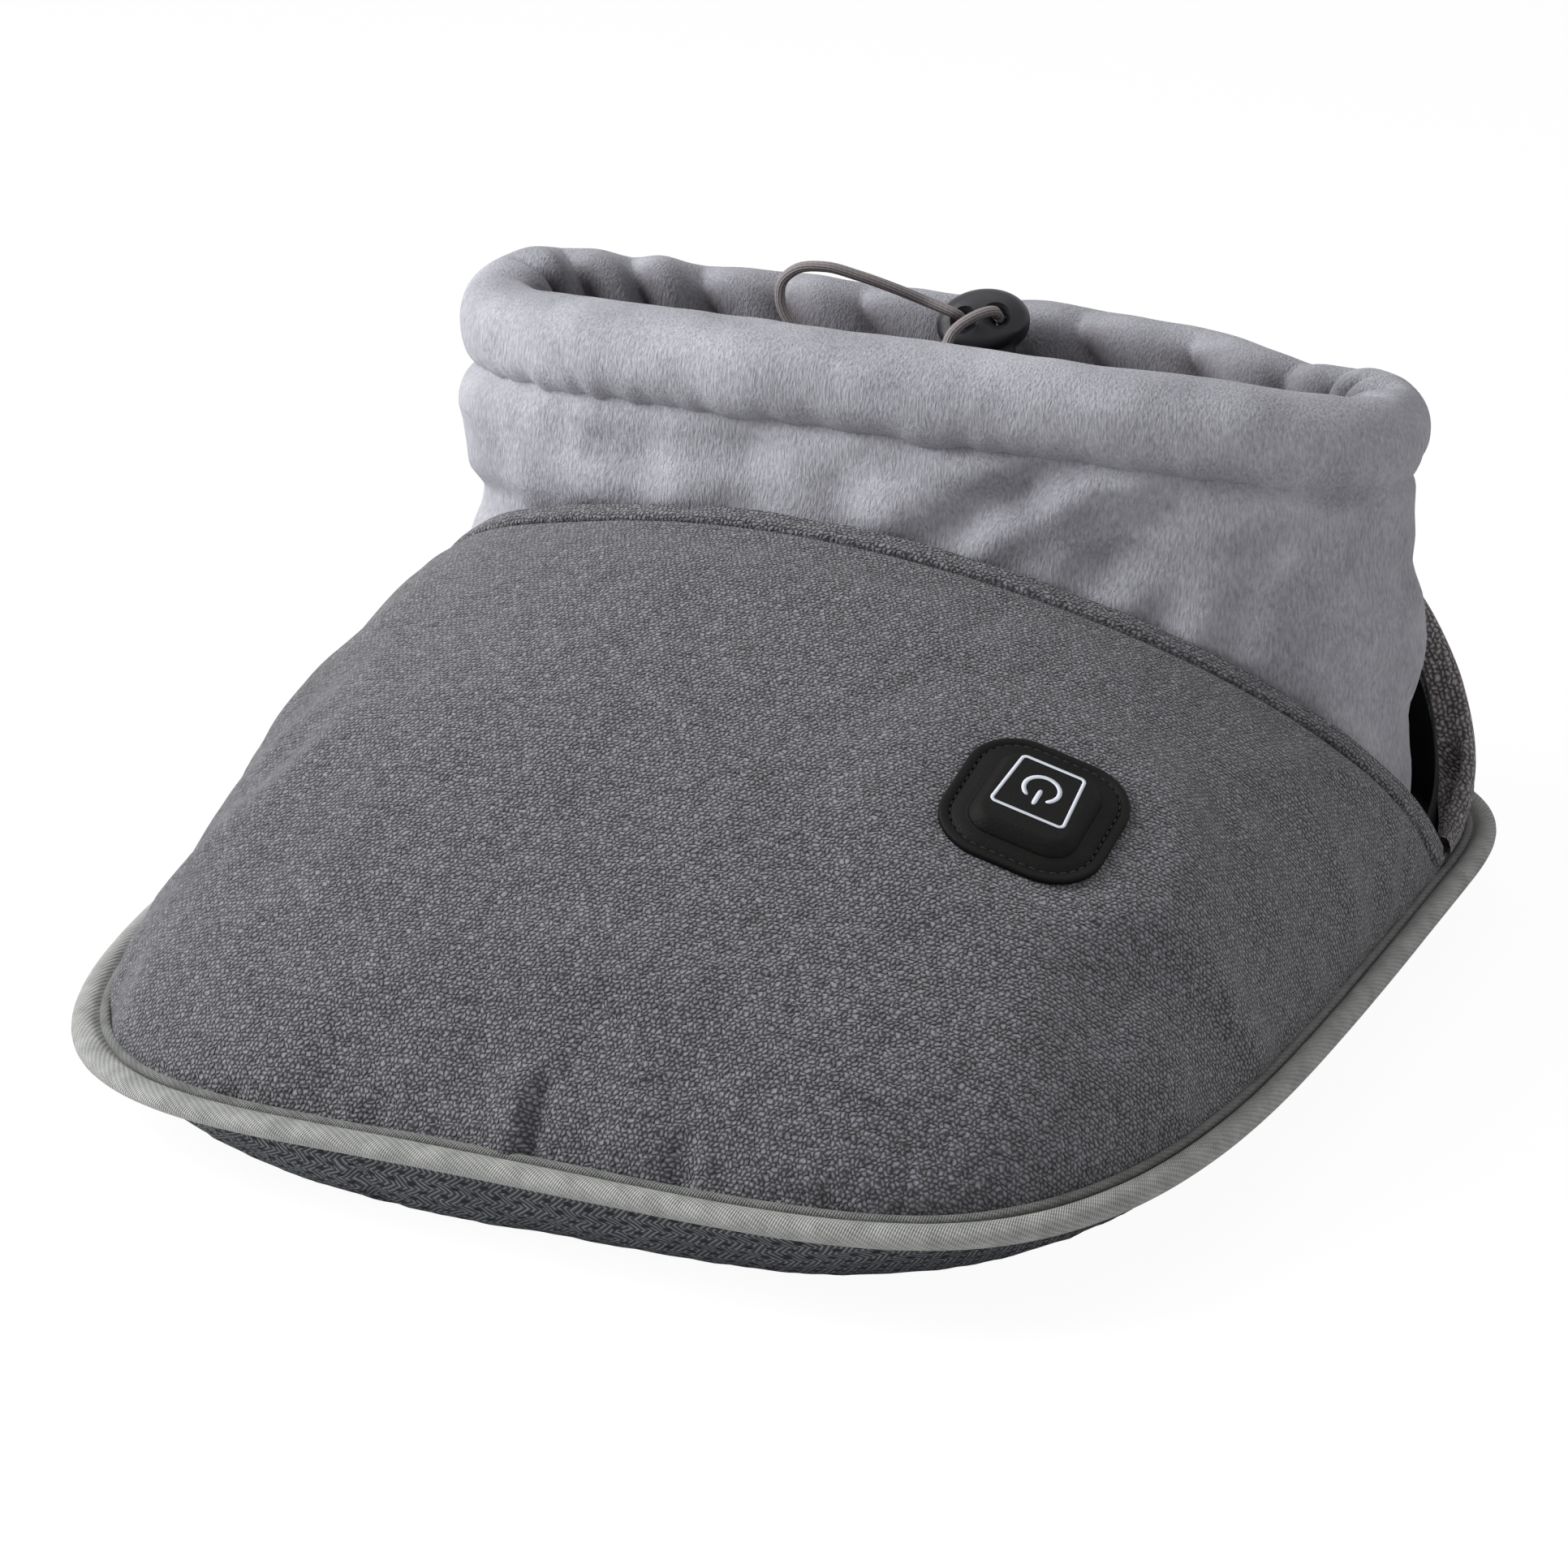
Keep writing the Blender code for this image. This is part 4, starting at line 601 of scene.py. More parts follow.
FOAM = Fibre("open_cell_foam", "foam", "#CFCBB9", "#E4E1D2", 0.95, size=0.0008, depth=0.0005)
FELT = Fibre("needled_felt", "felt", "#B0B0AB", "#C9C9C5", 0.95, size=0.0011, depth=0.0004)
WADDING = Fibre("polyester_wadding", "wadding", "#DADAD8", "#F2F2F1", 0.98, size=0.0026, depth=0.0012)


# Pieces


def add_object(name: str, data: bpy.types.ID) -> bpy.types.Object:
    """Adds an object to the scene."""
    made = bpy.data.objects.new(name, data)
    bpy.context.scene.collection.objects.link(made)
    return made


def axes_at(origin: Vector, across: Vector, above: Vector, out: Vector) -> Matrix:
    """Frame with its X across, its Y above and its Z out."""
    return Matrix.Translation(origin) @ Matrix((across, above, out)).transposed().to_4x4()


def put(shape: bmesh.types.BMesh, frame_of_shape: Matrix) -> bmesh.types.BMesh:
    """Moves a shape from its own frame to its place."""
    for vert in shape.verts:
        vert.co = frame_of_shape @ vert.co
    return shape


def dress(
    name: str,
    shape: bmesh.types.BMesh,
    finish: Finish,
    *stands_for: str,
    body: Body = Body.BOOT,
    wall: float = 0.0,
) -> bpy.types.Object:
    """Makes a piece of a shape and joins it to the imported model.

    Args:
        name: the piece's name.
        shape: its shape, which is used up.
        finish: what it is made of.
        stands_for: CAD nodes that it replaces.
        body: what it rides on.
        wall: thickness that a sheet is given inwards.

    Returns:
        The piece.
    """
    mesh = bpy.data.meshes.new(name)
    shape.to_mesh(mesh)
    shape.free()
    mesh.shade_smooth()
    mesh.materials.append(finish.material())
    piece = add_object(name, mesh)
    if wall:
        thicken = piece.modifiers.new("Wall", "SOLIDIFY")
        thicken.thickness = wall
        thicken.offset = -1
    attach(piece, body.value)
    if stands_for:
        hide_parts(*stands_for)
    log.info("%s of %s on %s", name, finish.name, body.value)
    return piece


def repaint(finish: Finish, *nodes: str) -> None:
    """Gives CAD nodes a finish."""
    for name in nodes:
        node = frame["nodes"][name]
        if not node.material_slots:
            node.data.materials.append(None)
        for spot in node.material_slots:
            spot.material = finish.material()
        log.info("%s of %s", name, finish.name)


def between(values: dict[tuple[int, int], float | Vector], columns: int, rows: int, closed: bool) -> Callable:
    """Value at any place of a grid whose points' values are known.

    Args:
        values: the value at each column and row.
        columns: faces along the grid.
        rows: faces up it.
        closed: whether its last column is its first.

    Returns:
        Function of a place along and a place up.
    """
    around = columns if closed else columns + 1

    def value_at(along: float, up: float) -> float | Vector:
        """Value between the nearest points."""
        x = min(max(along, 0.0), 1.0) * columns
        y = min(max(up, 0.0), 1.0) * rows
        c, r = min(int(x), columns - 1), min(int(y), rows - 1)
        near = values[c, r] + (values[c, r + 1] - values[c, r]) * (y - r)
        after = (c + 1) % around
        far = values[after, r] + (values[after, r + 1] - values[after, r]) * (y - r)
        return near + (far - near) * (x - c)

    return value_at


def numbered_grid(surface: Surface, columns: int, rows: int) -> bmesh.types.BMesh:
    """Grid on a surface whose points keep their column and row as attributes."""
    shape = bmesh.new()
    column, row = shape.verts.layers.int.new("column"), shape.verts.layers.int.new("row")
    bmesh.ops.create_grid(shape, x_segments=columns, y_segments=rows, size=0.5)
    for vert in shape.verts:
        vert[column] = round((vert.co.x + 0.5) * columns)
        vert[row] = round((vert.co.y + 0.5) * rows)
        vert.co = surface(vert[column] / columns, vert[row] / rows)
    bmesh.ops.reverse_faces(shape, faces=shape.faces)
    bmesh.ops.remove_doubles(shape, verts=shape.verts, dist=SAME_PLACE)
    shape.normal_update()
    return shape


def unroll(surface: Surface, columns: int = 80, rows: int = 26) -> Surface:
    """Unrolls a dome of fabric with as little stretch as it allows, at its real size.

    Args:
        surface: the dome.
        columns: faces along the grid that is unrolled.
        rows: faces up it.

    Returns:
        Place on the flat fabric, for a place along and a place up.
    """
    shape = numbered_grid(surface, columns, rows)
    shape.loops.layers.uv.new(WEAVE)
    spare = helper(shape)
    mesh = spare.data
    bpy.context.view_layer.objects.active = spare
    bpy.ops.object.mode_set(mode="EDIT")
    bpy.ops.mesh.select_all(action="SELECT")
    bpy.ops.uv.unwrap(method="MINIMUM_STRETCH", iterations=40)
    bpy.ops.object.mode_set(mode="OBJECT")
    uvs = mesh.uv_layers[WEAVE].data
    area = 0.0
    for face in mesh.polygons:
        corners = [uvs[i].uv for i in face.loop_indices]
        area += abs(sum(a.cross(b) for a, b in zip(corners, [*corners[1:], corners[0]]))) / 2
    scale = math.sqrt(sum(face.area for face in mesh.polygons) / area)
    column, row = mesh.attributes["column"].data, mesh.attributes["row"].data
    flat = {}
    for loop in mesh.loops:
        i = loop.vertex_index
        flat[column[i].value, row[i].value] = uvs[loop.index].uv * scale
    level = (flat[columns, rows] - flat[0, rows]).angle_signed(Vector((1, 0)))
    flat = {spot: place @ Matrix.Rotation(level, 2) for spot, place in flat.items()}
    discard(spare)
    return between(flat, columns, rows, closed=False)


def fabric_grid(
    surface: Surface,
    columns: int,
    rows: int,
    unrolled: Surface | None = None,
    inside: Callable[[float, float], float] | None = None,
) -> bmesh.types.BMesh:
    """Lays a grid of fabric on a surface, with its real lengths as UVs.

    Args:
        surface: the surface.
        columns: faces along it.
        rows: faces up it.
        unrolled: place on the flat fabric, which suits a dome. Without it the UVs are lengths along
            and up, which suit a band.
        inside: share of painted shade at a place along and up, which the plush is darkened by, where that matters.

    Returns:
        The shape, with faces outwards.
    """
    shape = bmesh.new()
    weave = shape.loops.layers.uv.new(WEAVE)
    # Layer that carries the painted shade to the plush.
    painted_shade_layer = shape.verts.layers.float.new(PAINTED_SHADE)
    bmesh.ops.create_grid(shape, x_segments=columns, y_segments=rows, size=0.5)
    spots = {v: (round((v.co.x + 0.5) * columns), round((v.co.y + 0.5) * rows)) for v in shape.verts}
    points = [[surface(c / columns, r / rows) for r in range(rows + 1)] for c in range(columns + 1)]
    ups = [running_lengths(column) for column in points]
    middle = running_lengths([column[rows // 2] for column in points])
    flat = {}
    for vert, (c, r) in spots.items():
        flat[vert] = unrolled(c / columns, r / rows) if unrolled else Vector((middle[c], ups[c][r]))
        vert.co = points[c][r]
        vert[painted_shade_layer] = inside(c / columns, r / rows) if inside else 0.0
    for face in shape.faces:
        for loop in face.loops:
            loop[weave].uv = flat[loop.vert]
    bmesh.ops.reverse_faces(shape, faces=shape.faces)
    bmesh.ops.remove_doubles(shape, verts=shape.verts, dist=SAME_PLACE)
    return shape


def cord_grid(points: Sequence[Vector], radius: float, sides: int) -> bmesh.types.BMesh:
    """Tube of fabric along points, with closed ends.

    Args:
        points: its middle line.
        radius: its radius.
        sides: faces round it.

    Returns:
        The shape.
    """
    along = [(b - a).normalized() for a, b in zip(points, points[1:])]
    along.append(along[-1])
    side = along[0].orthogonal().normalized()
    frames = []
    for direction in along:
        side = (side - direction * side.dot(direction)).normalized()
        frames.append((side.copy(), direction.cross(side)))
    last = len(points) - 1

    def skin(place: float, turn: float) -> Vector:
        """Point of the skin, drawn in at both ends."""
        i = round(place * (last + 2)) - 1
        reach = 0.0 if i in (-1, last + 1) else radius
        i = min(max(i, 0), last)
        x, y = frames[i]
        return points[i] + (x * math.cos(turn * math.tau) - y * math.sin(turn * math.tau)) * reach

    shape = fabric_grid(skin, last + 2, sides)
    bmesh.ops.recalc_face_normals(shape, faces=shape.faces)
    return shape


def turned(outline: Sequence[tuple[float, float]], steps: int) -> bmesh.types.BMesh:
    """Solid of revolution about Z, from radii and heights along its outline."""
    shape = bmesh.new()
    verts = [shape.verts.new((radius, 0, height)) for radius, height in outline]
    edges = [shape.edges.new(pair) for pair in zip(verts, verts[1:])]
    bmesh.ops.spin(
        shape, geom=[*verts, *edges], cent=(0, 0, 0), axis=(0, 0, 1), angle=math.tau, steps=steps, use_merge=True
    )
    bmesh.ops.remove_doubles(shape, verts=shape.verts, dist=SAME_PLACE)
    bmesh.ops.recalc_face_normals(shape, faces=shape.faces)
    return shape


def helper(shape: bmesh.types.BMesh) -> bpy.types.Object:
    """Object of a shape that is only needed while another is made."""
    mesh = bpy.data.meshes.new("helper")
    shape.to_mesh(mesh)
    shape.free()
    return add_object("helper", mesh)


def discard(*helpers: bpy.types.Object) -> None:
    """Removes helper objects with their meshes."""
    for spare in helpers:
        mesh = spare.data
        bpy.data.objects.remove(spare)
        bpy.data.meshes.remove(mesh)


@dataclass(frozen=True)
class Padding:
    """Padded fabric as simulated cloth: it is sewn down at its edges and a little too long for its
    place, so the padding swells it and it folds and puckers."""

    columns: int
    rows: int
    pressure: float
    spare: float
    cap: float
    sink: float
    closed: bool = False
    broad: int = 4
    frames: int = 20

    def swell(self, surface: Surface) -> Callable[[float, float], float]:
        """Lets the cloth swell.

        Args:
            surface: the fabric's even shape.
        """
        around = self.columns if self.closed else self.columns + 1
        shape = numbered_grid(surface, self.columns, self.rows)
        column, row = shape.verts.layers.int["column"], shape.verts.layers.int["row"]
        spots = [(vert[column] % around, vert[row]) for vert in shape.verts]
        rest = [(vert.co.copy(), vert.normal.copy()) for vert in shape.verts]
        sewn_columns = () if self.closed else (0, self.columns)
        cloth = helper(shape)
        sewn = cloth.vertex_groups.new(name="sewn")
        sewn.add([i for i, (c, r) in enumerate(spots) if c in sewn_columns or r in (0, self.rows)], 1.0, "REPLACE")
        modifier = cloth.modifiers.new("Cloth", "CLOTH")
        modifier.settings.vertex_group_mass = sewn.name
        modifier.settings.quality = 6
        modifier.settings.use_pressure = True
        modifier.settings.uniform_pressure_force = self.pressure
        modifier.settings.shrink_min = -self.spare
        modifier.settings.effector_weights.gravity = 0
        modifier.point_cache.frame_start, modifier.point_cache.frame_end = 1, self.frames
        for step in range(1, self.frames + 1):
            bpy.context.scene.frame_set(step)
        swollen = cloth.evaluated_get(bpy.context.evaluated_depsgraph_get()).to_mesh()
        heights = {
            spot: (vert.co - place).dot(normal)
            for spot, vert, (place, normal) in zip(spots, swollen.vertices, rest)
        }
        bpy.context.scene.frame_set(1)
        discard(cloth)
        folds = {spot: self.fold(heights, *spot) for spot in heights}
        log.info("cloth of %d points folds by %.1f mm", len(folds), 1000 * max(folds.values()))
        return between(folds, self.columns, self.rows, self.closed)

    def fold(self, heights: dict[tuple[int, int], float], c: int, r: int) -> float:
        """Height of the cloth over its own broad swell, eased off at the seams.

        Args:
            heights: how far each point of the cloth has moved out.
            c: the point's column.
            r: its row.

        Returns:
            The height, within the cap outwards and the sink inwards.
        """
        around = self.columns if self.closed else self.columns + 1

        def average(reach: int) -> float:
            """Mean height of the points round this one."""
            columns = range(c - reach, c + reach + 1)
            near = [((i % around if self.closed else i), j) for i in columns for j in range(r - reach, r + reach + 1)]
            known = [heights[spot] for spot in near if spot in heights]
            return sum(known) / len(known)

        aside = self.rows if self.closed else min(c, self.columns - c)
        ease = smooth(min(r, self.rows - r, aside) / 3)
        return min(max((average(1) - average(self.broad)) * ease, -self.sink), self.cap)


@dataclass(frozen=True)
class Base:
    """Plan outline of the foot warmer at its piping, and the height of the seam round it."""

    width: float = 0.320
    length: float = 0.350
    widest_share: float = 0.75
    toe_squareness: float = 4.6
    heel_squareness: float = 3.2
    seam: float = 0.023
    droop: float = 0.0035
    seam_inset: float = 0.008
    tail: float = 0.0012
    counter_start: float = QUARTER * 0.00076

    def point(self, angle: float, inset: float, toe: float = 0.0, heel: float = 0.0) -> Vector:
        """Point of the outline, drawn in from the piping's outer edge.

        Args:
            angle: angle round it.
            inset: how far it is drawn in.
            toe: squareness at the toe, where it differs.
            heel: squareness at the heel, where it differs.

        Returns:
            The point, on the floor.
        """
        toeward = math.sin(angle) > 0
        squareness = (toe or self.toe_squareness) if toeward else (heel or self.heel_squareness)
        reach = (self.widest_share if toeward else 1 - self.widest_share) * self.length - inset
        across = (self.width / 2 - inset) * signed_power(math.cos(angle), 2 / squareness)
        along = reach * signed_power(math.sin(angle), 2 / squareness)
        return Vector((across, (self.widest_share - 0.5) * self.length - along, 0))

    def seam_height(self, angle: float) -> float:
        """Height of the seam, which sags at the toe corner on the left."""
        corner = max(-2 * math.sin(angle) * math.cos(angle), 0) if math.sin(angle) > 0 else 0
        return self.seam - self.droop * corner**0.7

    def even_angles(self, start: float, end: float, count: int) -> list[float]:
        """Angles that split a stretch of the outline into equal lengths. They are looked up among
        angles that crowd where a small turn goes a long way, in the middle of each side."""
        fine = []
        for i in range(2001):
            turn = start + (end - start) * i / 2000
            flat = round(turn / QUARTER) * QUARTER
            fine.append(flat + (turn - flat) * abs(2 * (turn - flat) / QUARTER) ** 1.5)
        lengths = running_lengths([self.point(angle, self.seam_inset) for angle in fine])
        return [look_up(lengths[-1] * i / (count - 1), lengths, fine) for i in range(count)]

    @cached_property
    def round_angles(self) -> list[float]:
        """Even angles all the way round."""
        return self.even_angles(0, math.tau, 1921)

    @cached_property
    def vamp_angles(self) -> list[float]:
        """Even angles from the right side round the toe to the left side."""
        return self.even_angles(0, math.pi, 961)

    @cached_property
    def heel_angles(self) -> list[float]:
        """Even angles from the right side round the heel to the left side."""
        return self.even_angles(math.tau - self.counter_start, math.pi + self.counter_start, 961)

    def angle_along(self, angles: list[float], along: float) -> float:
        """Angle at a place along a row of even angles."""
        place = min(max(along, 0.0), 1.0) * (len(angles) - 1)
        whole = min(int(place), len(angles) - 2)
        return angles[whole] + (angles[whole + 1] - angles[whole]) * (place - whole)


BASE = Base()


@dataclass(frozen=True)
class Crease:
    """Dent or ridge in a soft surface: a line from one place to another with a bell-shaped section."""

    start: tuple[float, float]
    end: tuple[float, float]
    width: float
    depth: float

    def at(self, x: float, y: float) -> float:
        """How far it moves the surface outwards at a place in real lengths."""
        line = Vector(self.end) - Vector(self.start)
        from_start = Vector((x, y)) - Vector(self.start)
        share = from_start.dot(line) / line.length_squared
        aside = (from_start - line * min(max(share, 0), 1)).length
        return self.depth * hump(aside / self.width)


@dataclass(frozen=True)
class Vamp:
    """Upper over the toes: knit cover, its hem band, and the plush lining under it."""

    hem_half_width: float = 0.150
    hem_depth: float = 0.0565
    hem_centre: float = 0.090
    hem_low: float = 0.031
    hem_rise: float = 0.087
    hem_lean: float = 0.10
    roundness: float = 1.46
    lean_share: float = 0.096
    thickness: float = 0.002
    band: float = 0.008
    lining_depth: float = 0.0075
    insole_top: float = 0.0296
    columns: int = 380
    rows: int = 96
    flat_radius: float = 0.030
    flat_blend: float = 0.056
    patch_along: float = 0.346
    patch_up: float = 0.603
    calm_radius: float = 0.026
    calm_blend: float = 0.030
    shoulder_height: float = 0.0050
    shoulder_along: float = 0.775
    shoulder_width: float = 0.075
    hem_turn_up: float = 0.0018
    hem_outset: float = 0.0013
    hem_groove: float = 0.0012
    crimp_along: float = 0.598
    crimp_depth: float = 0.0022
    padding: Padding = Padding(170, 44, pressure=4.0, spare=0.02, cap=0.0020, sink=0.0010)

    def hem_line(self, angle: float) -> Vector:
        """Point of the free upper edge, which is higher on the left."""
        lift = math.sin(angle) * (1 - self.hem_lean * math.cos(angle))
        y = self.hem_centre - self.hem_depth * math.sin(angle)
        return Vector((self.hem_half_width * math.cos(angle), y, self.hem_low + self.hem_rise * lift))

    def bare(self, along: float, up: float) -> Vector:
        """Point of the vamp before it is pressed flat under the patch."""
        angle = BASE.angle_along(BASE.vamp_angles, along)
        low = raised(BASE.point(angle, BASE.seam_inset), BASE.seam_height(angle) + BASE.tail / 2 + GAP)
        roundness = self.roundness * (1 + self.lean_share * math.cos(math.pi * along))
        return dome(low, self.hem_line(math.pi * along), up, roundness)

    @cached_property
    def patch_frame(self) -> Matrix:
        """Frame of the button patch: X to the right, Y to the heel, Z out of the cover."""
        centre = self.bare(self.patch_along, self.patch_up)
        normal = normal_of(self.bare, self.patch_along, self.patch_up)
        right = (Vector((1, 0, 0)) - normal * normal.x).normalized()
        return axes_at(centre, right, normal.cross(right), normal)

    def surface(self, along: float, up: float) -> Vector:
        """Point of the vamp's outer face."""
        point = self.bare(along, up)
        normal = self.patch_frame.col[2].xyz
        away = point - self.patch_frame.translation
        height = away.dot(normal)
        distance = (away - normal * height).length
        share = 1 - smooth((distance - self.flat_radius) / (self.flat_blend - self.flat_radius))
        return point - normal * height * share

    @cached_property
    def band_starts(self) -> list[float]:
        """Place up each column where the hem band begins."""
        starts = []
        for column in range(self.columns + 1):
            fine = [i / 60 for i in range(61)]
            lengths = running_lengths([self.surface(column / self.columns, up) for up in fine])
            starts.append(look_up(max(lengths[-1] - self.band, lengths[-1] / 3), lengths, fine))
        return starts

    def band_start(self, along: float) -> float:
        """Place up where the hem band begins."""
        place = min(max(along, 0.0), 1.0) * self.columns
        return look_up(place, range(self.columns + 1), self.band_starts)

    @cached_property
    def swelling(self) -> Callable[[float, float], float]:
        """How far the padding swells the cover out."""
        return self.padding.swell(lambda along, up: self.surface(along, up * self.band_start(along)))

    def softness(self, along: float, up: float, point: Vector) -> float:
        """How far the padded cover stands out from its even shape."""
        lengthwise = (along - 0.5) * 0.86
        high = up * 0.19
        puckers = sum(crease.at(lengthwise, high) for crease in VAMP_CREASES)
        near_patch = (point - self.patch_frame.translation).length
        calm = smooth((near_patch - self.calm_radius) / self.calm_blend)
        slack = smooth(up / 0.12) * smooth((1 - up) / 0.10)
        waves = 0.0011 * uneven(point, 0.042) + 0.0006 * uneven(point + Vector((1, 2, 3)), 0.017)
        return calm * max(puckers + slack * waves + self.swelling(along, up), -self.thickness)

    def shoulder(self, along: float, up: float) -> float:
        """How far the left shoulder is stuffed out."""
        swell = self.shoulder_height * hump((along - self.shoulder_along) / self.shoulder_width)
        return swell * smooth((up - 0.25) / 0.35)

    def cover(self, along: float, up: float) -> Vector:
        """Point of the knit cover, up to the hem band."""
        place = up * self.band_start(along)
        point = self.surface(along, place)
        tuck = 0.0011 * (hump((1 - up) / 0.012) + hump(up / 0.010))
        height = self.softness(along, up, point) + self.shoulder(along, place) - tuck
        return point + normal_of(self.surface, along, place) * height

    def hem(self, along: float, turn: float) -> Vector:
        """Point round the hem band: a turned edge with a topstitched groove between two ridges."""
        start = self.band_start(along)
        angle = turn * math.tau
        across = 0.5 - 0.5 * signed_power(math.cos(angle), 0.8)
        place = start + (1 - start) * across
        point = self.surface(along, place)
        out = normal_of(self.surface, along, place)
        half = (self.thickness + self.hem_turn_up) / 2
        bulge = signed_power(math.sin(angle), 0.75) * half
        groove = self.hem_groove * hump((across - 0.48) / 0.10) if bulge > 0 else 0.0
        crimp = self.crimp_depth * hump((along - self.crimp_along) / 0.008) * across
        wave = 0.0006 * uneven(point, 0.018) + self.shoulder(along, place)
        return point + out * (bulge - half + self.hem_outset - groove + wave - crimp)

    def lining(self, along: float, up: float) -> Vector:
        """Point of the plush lining over the toes, down to the insole."""
        along = 0.03 + 0.94 * along
        place = (0.02 + 0.9 * up) * self.band_start(along)
        point = self.surface(along, place) - normal_of(self.surface, along, place) * self.lining_depth
        point += normal_of(self.surface, along, place) * 0.0008 * uneven(point, 0.03)
        return raised(point, max(point.z, self.insole_top))

    def build(self) -> None:
        """Builds the cover, the hem band and the lining."""
        cover = fabric_grid(self.cover, self.columns, self.rows, unroll(self.cover))
        dress("knit_cover", cover, KNIT, "vamp_cover", wall=self.thickness)
        hem = fabric_grid(self.hem, 480, 22)
        dress("knit_hem_band", hem, KNIT, "vamp_hem")
        lining = fabric_grid(self.lining, 110, 50)
        dress("toe_plush", lining, SHADED_PLUSH, "toe_lining", wall=0.0024)


VAMP_CREASES = (
    Crease((0.0425, 0.004), (0.0415, 0.019), 0.0038, -0.0024),
    Crease((-0.0078, 0.004), (-0.0070, 0.034), 0.0026, -0.0034),
    Crease((-0.0020, 0.006), (-0.0012, 0.032), 0.0080, 0.0018),
    Crease((-0.0540, 0.004), (-0.0530, 0.024), 0.0036, -0.0026),
    Crease((-0.0600, 0.006), (-0.0590, 0.022), 0.0044, 0.0014),
    Crease((0.0900, 0.003), (0.0890, 0.014), 0.0036, -0.0016),
    Crease((-0.0980, 0.003), (-0.0970, 0.014), 0.0040, -0.0014),
)


@dataclass(frozen=True)
class HeelCounter:
    """Padded knit cup round the heel, with a thick rolled edge."""

    half_width: float = 0.150
    depth: float = 0.062
    centre: float = 0.0925
    squareness: float = 3.3
    low: float = 0.031
    rise: float = 0.083
    roundness: float = 1.9
    thickness: float = 0.002
    edge: float = 0.0100
    edge_thickness: float = 0.0110
    edge_outset: float = 0.0030
    lining_depth: float = 0.0072
    lining_turn_in: float = 0.012

    def upper_line(self, angle: float) -> Vector:
        """Point of the free upper edge."""
        height = self.low + self.rise * max(math.sin(angle), 0) ** 1.2
        return superellipse(angle, self.half_width, self.depth, 2 / self.squareness, self.centre, height)

    def surface(self, along: float, up: float) -> Vector:
        """Point of the outer face, from the left side round the heel to the right."""
        angle = BASE.angle_along(BASE.heel_angles, 1 - along)
        low = raised(BASE.point(angle, BASE.seam_inset), BASE.seam + BASE.tail / 2 + GAP)
        return dome(low, self.upper_line(math.pi * (1 - along)), up, self.roundness)

    def edge_start(self, along: float) -> float:
        """Place up where the rolled edge begins."""
        fine = [i / 12 for i in range(13)]
        lengths = running_lengths([self.surface(along, up) for up in fine])
        return look_up(max(lengths[-1] - self.edge, lengths[-1] / 3), lengths, fine)

    def cover(self, along: float, up: float) -> Vector:
        """Point of the knit cover."""
        place = up * self.edge_start(along)
        point = self.surface(along, place)
        soft = 0.0010 * uneven(point, 0.035) * smooth(up / 0.1) * smooth((1 - up) / 0.1)
        tuck = 0.0012 * hump((1 - up) / 0.03)
        return point + normal_of(self.surface, along, place) * (soft - tuck)

    def rolled_edge(self, along: float, turn: float) -> Vector:
        """Point round the rolled edge."""
        start = self.edge_start(along)
        angle = turn * math.tau
        across = 0.5 - 0.5 * signed_power(math.cos(angle), 0.9)
        place = start + (1 - start) * across
        point = self.surface(along, place)
        out = normal_of(self.surface, along, place)
        half = self.edge_thickness / 2 * (0.60 + 0.40 * smooth(min(along, 1 - along) / 0.08))
        wave = 0.0004 * uneven(point, 0.02)
        return point + out * (signed_power(math.sin(angle), 0.9) * half - half + self.edge_outset + wave)

    def lining(self, along: float, up: float) -> Vector:
        """Point of the black lining, which turns in under the insole at its lower end."""
        along = 0.012 + 0.976 * along
        place = 0.95 * max(up - 0.12, 0) / 0.88
        depth = self.lining_depth + self.lining_turn_in * smooth((0.12 - up) / 0.12)
        point = self.surface(along, place)
        inwards = Vector((0, self.centre - 0.02, 0)) - raised(point, 0)
        point += inwards.normalized() * (depth + 0.0006 * uneven(point, 0.025))
        return raised(point, max(point.z, BASE.seam + 0.0012))

    def build(self) -> None:
        """Builds the cup, its rolled edge and its lining."""
        dress("counter_lining", fabric_grid(self.lining, 160, 36), LINING, "heel_lining", wall=0.0006)
        cover = fabric_grid(self.cover, 200, 40)
        dress("knit_counter", cover, COUNTER_KNIT, "heel_counter", wall=self.thickness)
        roll = fabric_grid(self.rolled_edge, 260, 24)
        dress("counter_rolled_edge", roll, COUNTER_KNIT, "heel_hem")


